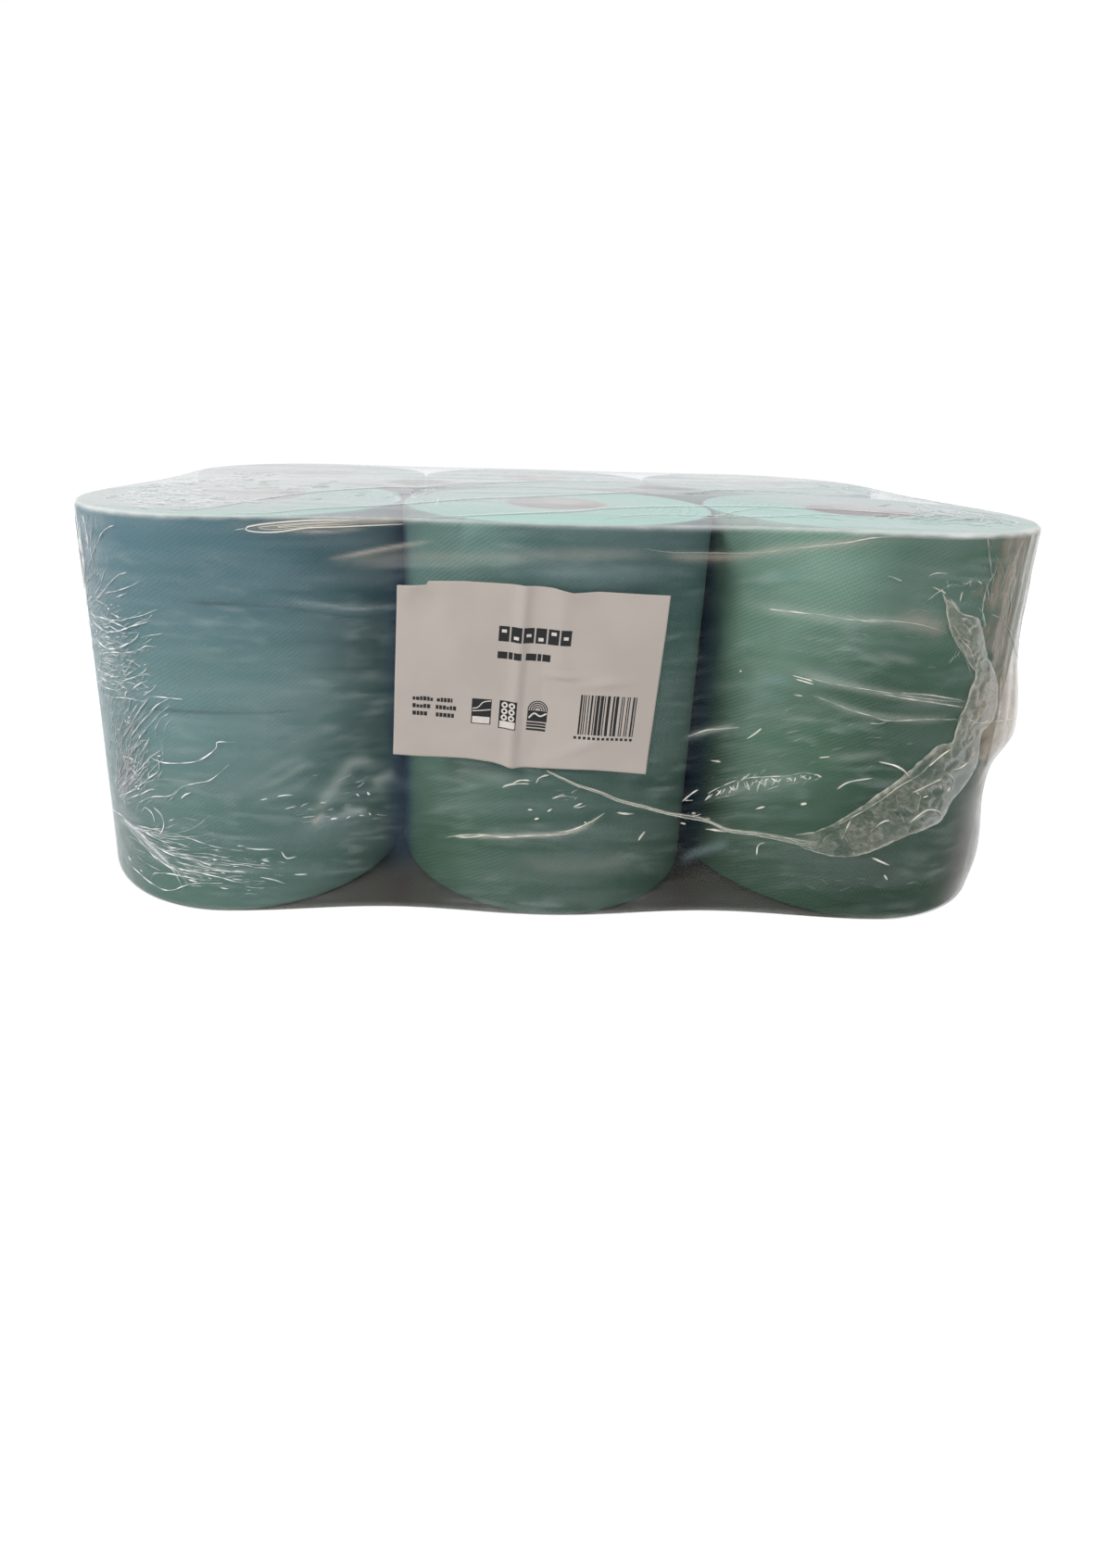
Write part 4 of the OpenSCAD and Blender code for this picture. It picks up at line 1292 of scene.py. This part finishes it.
def seal_sheet(rng):
    """The crumpled band between its two edges: places, looks and faces."""
    n, across = 230, 27
    upper, lower = even(SEAL_UPPER, n), even(SEAL_LOWER, n)
    q = np.linspace(0, 1, across)
    line = upper[:, None] * (1 - q)[None, :, None] + lower[:, None] * q[None, :, None]
    u, v = line[..., 0], line[..., 1]
    big, mid, small = (flat_noise(rng, u, v, cell, cell) for cell in (9, 4.2, 2.2))
    ridge = bell(mid, 0, 0.09) * (0.5 + 0.5 * big)
    crest = bell(big + 0.3 * mid, 0, 0.07)
    t = np.linspace(0, 1, n)[:, None]
    body = smooth_step(t / 0.05) * smooth_step((1 - t) / 0.03)
    edge = bell(q, 0, 0.045)[None] + bell(1 - q, 0, 0.045)[None]
    crumple = 0.75 + 0.55 * big + 0.35 * mid + 0.12 * small + 0.5 * ridge + 0.4 * crest
    lift = 0.35 + body * crumple * np.sin(np.pi * (0.08 + 0.84 * q))[None]
    u = u + 0.5 * small * edge
    v = v + 0.5 * mid * edge
    field = Field(u, v)
    rising = smooth_step((v - 96) / 24)
    haze = body * (0.16 + 0.10 * rising + 0.11 * big + 0.08 * small)
    field.cover(np.clip(haze, 0.02, 1), (0.40, 0.375, 0.30))
    # Painted highlights on the crumple's crests and ridges, and along both edges
    field.cover(body * (0.12 * crest + 0.16 * ridge), CREAM)
    field.cover(edge * (0.30 + 0.25 * mid + 0.15 * small) * (1 - 0.5 * rising * q[None]), CREAM)
    # Painted shade in the crumple's hollows
    field.cover(0.16 * (bell(mid, -0.35, 0.10) * body), (0.06, 0.11, 0.10))
    places = film_point(u, v, np.clip(lift, 0.3, 2.6) + broad_lift(u, v)).reshape(-1, 3)
    return places, field.look().reshape(-1, 4), grid_faces(n, across)


def seal_strand(route, half, run):
    """The thin strand before the band opens, from its line and half widths: places, looks and faces."""
    k = np.linspace(-1, 1, 7)
    p = route[:, None] + left_of(route)[:, None] * (half[:, None] * k[None])[..., None]
    u, v = p[..., 0], p[..., 1]
    rise = 0.15 + 0.9 * np.sqrt(1 - 0.96 * k ** 2)[None] * half[:, None] ** 0.5
    look = np.ones((len(run), 7, 4)) * np.array([0.36, 0.36, 0.32, 1.0])
    milk = (0.42 + 0.12 * np.sin(run * 90)[:, None]) * (1 - 0.55 * np.abs(k) ** 3)[None]
    look[..., 3] = milk * smooth_step((1.05 - run) / 0.15)[:, None]
    places = film_point(u, v, rise + broad_lift(u, v)).reshape(-1, 3)
    return places, look.reshape(-1, 4), grid_faces(len(run), 7)


def seal_creases(route, half, run, rng, mat):
    """Threads that wind along the strand, the weld, traced creases and rungs across the band."""
    c = Creases(lambda a, b, out: film_point(a, b, broad_lift(a, b) + out + 1.35))
    side = left_of(route)
    for j in range(7):
        swing = half * 0.75 * np.sin(run * (9 + 2.2 * j) + 1.9 * j)
        c.add(route + side * swing[:, None], 0.30, 0.35, 0.62, CREAM, 2.1 * j, 0.45, 0.25)
    c.add(WELD, 0.4, 0.7, 0.7, CREAM, 1.0, 0.5, 0.3)
    for k, pts in enumerate(BAND_CREASES):
        c.add(pts, 0.75 * rng.uniform(0.8, 1.4), 0.6, rng.uniform(0.8, 1.2), CREAM, 1.3 * k, 0.3, 0.4)
    upper, lower = even(SEAL_UPPER, 60), even(SEAL_LOWER, 60)
    for k in range(4, 56):
        a, b = rng.uniform(0.05, 0.5), rng.uniform(0.4, 0.95)
        j = min(59, max(0, k + int(rng.integers(-2, 3))))
        p0, p1 = upper[k] * (1 - a) + lower[k] * a, upper[j] * (1 - b) + lower[j] * b
        bow = (p0 + p1) / 2 + rng.normal(0, 1.2, 2)
        c.add([p0, bow, p1], 0.4 * rng.uniform(0.7, 1.3), 0.6, rng.uniform(0.15, 0.5),
              CREAM, rng.uniform(0, 6), 0.6, 0.5)
    c.done("seal_creases", mat, "seal")


def film_seal(mat):
    """The film's welded edge: a strand that opens into a crumpled band and runs up the right end."""
    rng = np.random.default_rng(21)
    run = np.linspace(0, 1, 120)
    route = even(STRAND, len(run))
    half = np.interp(run, [0, 0.1, 0.4, 0.75, 0.9, 1.0], [0.3, 0.8, 1.1, 1.3, 1.9, 3.0])
    band, band_look, faces = seal_sheet(rng)
    strand, strand_look, strand_faces = seal_strand(route, half, run)
    faces = faces + [[i + len(band) for i in f] for f in strand_faces]
    look = np.concatenate([band_look, strand_look])
    obj = add_mesh("seal_band", np.concatenate([band, strand]), faces, mat, look=look)
    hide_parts("film_seal")
    seal_creases(route, half, run, rng, mat)


# The label and its print

LABEL_W, LABEL_H = 142.0, 99.0
# Its corners, top and bottom, left and right, as positions along the film and heights
LABEL_CORNERS = {"tl": (-88.9, 199.2), "tr": (52.7, 194.7), "bl": (-91.7, 102.5), "br": (47.5, 93.5)}


def label_wave(u, v):
    """How far the label stands off the film at a place u, v on it, in millimetres."""
    fold = 1.9 * bell(u - 65.5, 0.012 * (v - 50), 3.6) - 0.9 * bell(u, 75, 6.5)
    second = 0.9 * bell(u - 86, -0.05 * (v - 95), 5) * smooth_step((v - 45) / 40)
    ripple = 0.40 * np.sin(u / 15.5 + 0.9) + 0.26 * np.sin(u / 8.3 + v / 37 + 2.0)
    ripple = ripple + 0.22 * np.sin(v / 14 + u / 50)
    crease = 1.3 * spot((v - 53 + 0.02 * (u - 92)) / 1.8, (u - 91) / 9)
    lower = 1.0 * spot((v - 50 - 0.12 * (u - 112)) / 2.6, (u - 112) / 14)
    diagonal = 0.8 * spot((v - 12 - 0.5 * (u - 100)) / 4, (u - 104) / 20)
    dent = -0.5 * np.exp(-((np.hypot(u - 14.3, v - 85.9) / 8) ** 4))
    left_curl = 1.8 * bell(np.hypot(u - 8, LABEL_H - v), 0, 9)
    middle_curl = 1.8 * bell(np.hypot(u - 91, LABEL_H + 2 - v), 0, 10)
    hem = 0.8 * bell(v, 0, 6) * (0.5 + 0.5 * np.sin(u / 11 + 1.2))
    bumps = 1.5 + fold + second + ripple * 0.8 + crease + lower + diagonal + dent
    return np.maximum(0.75, bumps + (left_curl + middle_curl) + hem)


TOP_HEM = [
    (0, -2.2), (15.2, -1.0), (15.8, 1.0), (34, 2.0), (61, 2.0), (81, 1.5), (91, -0.4), (104, 0.7),
    (142, 0.0),
]
FOOT_HEM = [(0, 0), (16, 0), (41, 1.0), (54, 0.4), (67.5, -1.7), (86, -0.2), (112, 0.6), (142, 0.0)]


def label_point(u, v, off=0.0):
    """The place at u, v from the label's lower left corner, off millimetres in front of it."""
    u, v = np.asarray(u, float), np.asarray(v, float)
    a, b = (u / LABEL_W)[..., None], (v / LABEL_H)[..., None]
    tl, tr, bl, br = (np.array(LABEL_CORNERS[k]) for k in ("tl", "tr", "bl", "br"))
    p = (bl * (1 - a) + br * a) * (1 - b) + (tl * (1 - a) + tr * a) * b
    # The hems wander: stepped near the top left, notched right of the middle
    near_top, near_foot = smooth_step((v - LABEL_H + 5) / 5), smooth_step((5 - v) / 5)
    z = p[..., 1] + near_top * np.interp(u, *zip(*TOP_HEM)) + near_foot * np.interp(u, *zip(*FOOT_HEM))
    s = p[..., 0]
    out = label_wave(u, v) + off + broad_lift(s, z)
    return film_point(s, z, out)


def label_sheet(mat):
    """The label's paper: a front, a back and the rim between them."""
    cols, rows = 160, 112
    u, v = np.meshgrid(np.linspace(0, LABEL_W, cols), np.linspace(0, LABEL_H, rows), indexing="ij")
    front = label_point(u, v).reshape(-1, 3)
    back = label_point(u, v, -0.14).reshape(-1, 3)
    faces = grid_faces(cols, rows)
    n = cols * rows
    faces += [[i + n for i in f[::-1]] for f in grid_faces(cols, rows)]
    rim = [c * rows for c in range(cols)] + [(cols - 1) * rows + r for r in range(1, rows)]
    rim += [c * rows + rows - 1 for c in range(cols - 2, -1, -1)] + [r for r in range(rows - 2, 0, -1)]
    for k, a in enumerate(rim):
        b = rim[(k + 1) % len(rim)]
        faces.append([a, a + n, b + n, b])
    obj = add_mesh("label_sheet", np.concatenate([front, back]), faces, mat)
    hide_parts("label")


class Print:
    """Flat inked shapes gathered into one mesh that follows the label."""

    def __init__(self, name, mat, off):
        self.name, self.mat, self.off = name, mat, off
        self.points, self.faces = [], []

    def _add(self, u, v, quads):
        base = sum(len(p) for p in self.points)
        self.points.append(label_point(u.ravel(), v.ravel(), self.off))
        self.faces += [[i + base for i in q] for q in quads]

    def box(self, u0, v0, u1, v1):
        nu = max(2, int(abs(u1 - u0) / 1.2) + 2)
        nv = max(2, int(abs(v1 - v0) / 1.2) + 2)
        u, v = np.meshgrid(np.linspace(u0, u1, nu), np.linspace(v0, v1, nv), indexing="ij")
        self._add(u, v, grid_faces(nu, nv))

    def band(self, points, width):
        """A line of even width through the points."""
        p = curve(points, 8)
        side = left_of(p) * width / 2
        pts = np.stack([p - side, p + side], 1)
        self._add(pts[..., 0], pts[..., 1], grid_faces(len(p), 2))

    def ring(self, cu, cv, inner, outer, start=0.0, end=360.0):
        a = np.radians(np.linspace(start, end, 37))
        r = np.array([inner, outer])
        u, v = cu + np.cos(a)[:, None] * r[None], cv + np.sin(a)[:, None] * r[None]
        self._add(u, v, [q[::-1] for q in grid_faces(37, 2)])

    def done(self):
        add_mesh(self.name, np.concatenate(self.points), self.faces, self.mat)


def heading(ink, pale):
    """Blocks in place of a heading, each with a pale bar at its own height, and thin bars below."""
    pale_bars = ((4.9, 6.6), (1.5, 3.3), (3.4, 5.0), (1.3, 3.2), (5.1, 6.9), (3.1, 4.9))
    for k, (low, high) in enumerate(pale_bars):
        u, v = 54.1 + 6.5 * k, 69.9 + 0.02 * k
        ink.box(u, v, u + 5.6, v + 8.4)
        pale.box(u + 1.5, v + low, u + 4.1, v + high)
    for u, w in ((54.2, 5.2), (60.0, 2.2), (62.8, 4.0), (69.2, 5.6), (75.4, 2.0), (78.0, 4.2)):
        ink.box(u, 60.3, u + w, 64.2)


def short_lines(ink, rng):
    """Three short lines, each in two parts."""
    lines = (
        (33.2, (9.9, 21.2), (23.0, 31.5)),
        (28.8, (9.9, 20.0), (22.6, 34.4)),
        (24.4, (10.0, 18.0), (22.8, 32.8)),
    )
    for v, *parts in lines:
        for u, end in parts:
            while u < end - 0.6:
                w = min(float(rng.uniform(1.2, 2.0)), end - u)
                ink.box(u, v, u + w, v + float(rng.choice([1.9, 2.4, 2.4])))
                u += w + 0.38


def pictures(ink, pale):
    """Three plain pictures side by side."""
    # Two plies
    ink.box(42.1, 22.3, 52.8, 36.8)
    pale.band([(42.5, 31.0), (45.5, 31.9), (48.3, 35.0), (52.4, 36.0)], 0.55)
    pale.band([(42.5, 29.6), (46, 30.0), (52.5, 31.0)], 0.55)
    pale.box(42.7, 22.8, 52.2, 26.6)
    ink.box(45.2, 23.8, 49.8, 25.5)
    # Rolls standing in a block
    ink.box(57.1, 20.8, 66.5, 36.8)
    for i in range(2):
        for j in range(3):
            pale.ring(59.9 + 3.9 * i, 34.4 - 3.6 * j, 0.75, 1.7)
    pale.box(57.7, 21.4, 66.0, 25.2)
    ink.box(59.3, 22.4, 64.4, 24.1)
    # A plain round-topped picture
    ink.box(72.6, 26.2, 83.3, 32.4)
    for r in (1.7, 2.9, 4.1, 5.2):
        ink.ring(78.0, 32.6, r - 0.3, r + 0.3, 0, 180)
    pale.band([(73.4, 28.0), (76.2, 30.8), (79.6, 29.4), (82.8, 31.2)], 0.9)
    for v, h in ((24.4, 1.1), (22.8, 1.1), (20.9, 1.2)):
        ink.box(72.5, v, 83.0, v + h)


def stripes(ink, rng):
    """Upright stripes of uneven width over a row of small squares."""
    u = 100.7
    while u < 132:
        w = float(rng.choice([0.55, 0.55, 1.0, 1.6]))
        ink.box(u, 21.0, u + w, 43.5)
        u += w + float(rng.choice([0.55, 0.55, 1.0, 1.5]))
    for k in range(13):
        ink.box(98.8 + 2.6 * k, 18.4, 100.3 + 2.6 * k, 19.9)


def label_print(ink_mat, pale_mat):
    """Bars and plain pictures in place of words and marks: plies, rolls, stripes."""
    ink = Print("label_ink", ink_mat, 0.05)
    pale = Print("label_pale", pale_mat, 0.1)
    rng = np.random.default_rng(2)
    heading(ink, pale)
    short_lines(ink, rng)
    pictures(ink, pale)
    stripes(ink, rng)
    ink.done()
    pale.done()


# Rolls and cores

# Painted light: lit and dim shades of each roll's side, each at its top, middle and foot, and where others
# touch it
PAINTED_LIGHT_SHADES = {
    "roll_front_left": (
        ((0.096, 0.178, 0.217), (0.122, 0.202, 0.207), (0.096, 0.165, 0.143)),
        ((0.096, 0.178, 0.212), (0.138, 0.235, 0.235), (0.105, 0.182, 0.152)),
        (0, 90),
    ),
    "roll_front_middle": (
        ((0.17, 0.28, 0.25), (0.12, 0.21, 0.165), (0.075, 0.140, 0.096)),
        ((0.062, 0.125, 0.122), (0.07, 0.13, 0.11), (0.053, 0.099, 0.075)),
        (0, 180, 90),
    ),
    "roll_front_right": (
        ((0.210, 0.352, 0.278), (0.117, 0.214, 0.150), (0.062, 0.112, 0.078)),
        ((0.077, 0.150, 0.110), (0.052, 0.099, 0.070), (0.028, 0.056, 0.037)),
        (180, 90),
    ),
    "roll_back_left": (
        ((0.14, 0.26, 0.23), (0.12, 0.22, 0.18), (0.09, 0.16, 0.13)),
        ((0.14, 0.26, 0.22), (0.11, 0.21, 0.17), (0.08, 0.15, 0.12)),
        (0, -90),
    ),
    "roll_back_middle": (
        ((0.14, 0.26, 0.22), (0.12, 0.22, 0.17), (0.09, 0.16, 0.12)),
        ((0.14, 0.26, 0.21), (0.11, 0.21, 0.16), (0.08, 0.15, 0.11)),
        (0, 180, -90),
    ),
    "roll_back_right": (
        ((0.14, 0.26, 0.21), (0.12, 0.22, 0.17), (0.09, 0.16, 0.12)),
        ((0.14, 0.26, 0.21), (0.11, 0.21, 0.16), (0.08, 0.15, 0.11)),
        (180, -90),
    ),
}
for index, (node, (lit, dim, touching)) in enumerate(PAINTED_LIGHT_SHADES.items()):
    lo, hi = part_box(node)
    centre = ((lo.x + hi.x) / 2, (lo.y + hi.y) / 2, 0.0)
    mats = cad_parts[node].data.materials
    mats.clear()
    # The left front roll's embossing shows only half as strongly
    relief = 0.5 if index == 0 else 1.0
    mats.append(paper_material("paper_" + node[5:], centre, (lit, dim), touching, 1.7 * index, relief))
card = card_material()
for node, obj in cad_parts.items():
    if node.startswith("core_"):
        obj.data.materials.clear()
        obj.data.materials.append(card)

film = film_material("film")
seal = film_material("seal", 0.25, 0.10)
front_wall = film_side("film_front", -CORNER_END, CORNER_END, 520, 172, film)
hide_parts("film_wrap")
film_side("film_right_end", CORNER_END, BACK_START, 110, 132, film)
film_side("film_left_end", -BACK_START, -CORNER_END, 110, 132, film)
film_side("film_back", BACK_START, 2 * HALF_LOOP - BACK_START, 290, 104, film)
film_top(440, 190, film_material("film_top", 0.8, 0.36))
side_creases(film)
film_base(film)
film_seal(seal)
label_sheet(label_material())
label_print(ink_material("label_ink", (0.014, 0.015, 0.017)), ink_material("label_pale", (0.60, 0.55, 0.51)))


# Stage, light and camera

def stage_material():
    """Pale floor that reads as white, with the object's shadow kept."""
    mat, nodes, links, bsdf, out = new_material("floor")
    bsdf.inputs["Base Color"].default_value = (0.9, 0.9, 0.9, 1)
    bsdf.inputs["Roughness"].default_value = 0.9
    bsdf.inputs["Specular IOR Level"].default_value = 0.0
    white = nodes.new("ShaderNodeEmission")
    white.inputs["Strength"].default_value = 0.84
    dull = nodes.new("ShaderNodeBsdfDiffuse")
    dull.inputs["Color"].default_value = (0.44, 0.44, 0.44, 1)
    shown = nodes.new("ShaderNodeAddShader")
    links.new(white.outputs[0], shown.inputs[0])
    links.new(dull.outputs[0], shown.inputs[1])
    t = Tree(nodes, links)
    links.new(t.blend(t.seen_directly(), bsdf.outputs[0], shown.outputs[0]), out.inputs["Surface"])
    return mat


FLOOR_REACH = 30
corners = [(x * FLOOR_REACH, y * FLOOR_REACH, 0) for x, y in ((-1, -1), (1, -1), (1, 1), (-1, 1))]
floor_mesh = bpy.data.meshes.new("floor")
floor_mesh.from_pydata(corners, [], [(0, 1, 2, 3)])
floor = bpy.data.objects.new("floor", floor_mesh)
floor_mesh.materials.append(stage_material())
bpy.context.scene.collection.objects.link(floor)
floor.location.z = -0.0005


def background(nodes, colour, strength):
    """One even background of the world."""
    n = nodes.new("ShaderNodeBackground")
    n.inputs["Color"].default_value = (*colour, 1)
    n.inputs["Strength"].default_value = strength
    return n.outputs[0]


def studio_world():
    """Soft cool light all round, seen itself as white."""
    world = bpy.data.worlds.new("studio")
    world.use_nodes = True
    nodes, links = world.node_tree.nodes, world.node_tree.links
    nodes.clear()
    out = nodes.new("ShaderNodeOutputWorld")
    light, white = background(nodes, (0.93, 0.97, 1.0), 0.40), background(nodes, (1, 1, 1), 1.0)
    t = Tree(nodes, links)
    links.new(t.blend(t.seen_directly(), light, white), out.inputs["Surface"])
    return world


bpy.context.scene.world = studio_world()


def area_light(name, at, to, size, power, colour=(1, 1, 1), mirrored=True):
    """A round lamp aimed at a place; one that isn't mirrored leaves no glare on the film."""
    data = bpy.data.lights.new(name, "AREA")
    data.shape, data.size, data.energy, data.color = "DISK", size, power, colour
    obj = bpy.data.objects.new(name, data)
    bpy.context.scene.collection.objects.link(obj)
    obj.location = at
    obj.visible_glossy = mirrored
    obj.rotation_euler = (Vector(to) - Vector(at)).to_track_quat("-Z", "Y").to_euler()


area_light("key", (-1.5, -1.35, 1.7), (0, 0, 0.1), 0.8, 42, (1.0, 0.99, 0.97), mirrored=False)
area_light("fill", (1.7, -1.2, 0.9), (0.1, 0, 0.1), 1.2, 8, (1.0, 0.95, 0.9))
area_light("back", (0.3, 1.8, 1.7), (0, 0, 0.15), 1.3, 13, mirrored=False)
area_light("side", (2.0, 0.9, 0.5), (0.2, 0, 0.1), 1.0, 9, (1.0, 0.98, 0.95), mirrored=False)

# The photograph's camera: size, focal length and principal point in pixels, and its place in millimetres
WIDTH, HEIGHT, FOCAL, PPX, PPY = 1197, 1693, 802.8, 533.0, 670.3
CAMERA_AT = (-46.9, -563.0, 283.2)
SENSOR = 36
yaw, pitch, tilt = (math.radians(a) for a in (-1.26, 15.58, 1.59))
ahead = Vector((-math.sin(yaw), math.cos(yaw), 0))
right = Vector((math.cos(yaw), math.sin(yaw), 0))
up = Vector((0, 0, 1))
look_dir = ahead * math.cos(pitch) - up * math.sin(pitch)
cam_up = up * math.cos(pitch) + ahead * math.sin(pitch)
cam_right = right * math.cos(tilt) + cam_up * math.sin(tilt)
cam_up = cam_up * math.cos(tilt) - right * math.sin(tilt)
cam_data = bpy.data.cameras.new("camera")
cam_data.sensor_fit = "AUTO"
cam_data.sensor_width = SENSOR
cam_data.lens = FOCAL / HEIGHT * SENSOR
cam_data.shift_x = (WIDTH / 2 - PPX) / HEIGHT
cam_data.shift_y = (PPY - HEIGHT / 2) / HEIGHT
cam_data.clip_start = 0.02
cam = bpy.data.objects.new("camera", cam_data)
bpy.context.scene.collection.objects.link(cam)
turn = Matrix((cam_right, cam_up, -look_dir)).transposed().to_4x4()
cam.matrix_world = Matrix.Translation(Vector(CAMERA_AT) * MM) @ turn
bpy.context.scene.camera = cam

scene = bpy.context.scene
scene.view_settings.view_transform = "Standard"
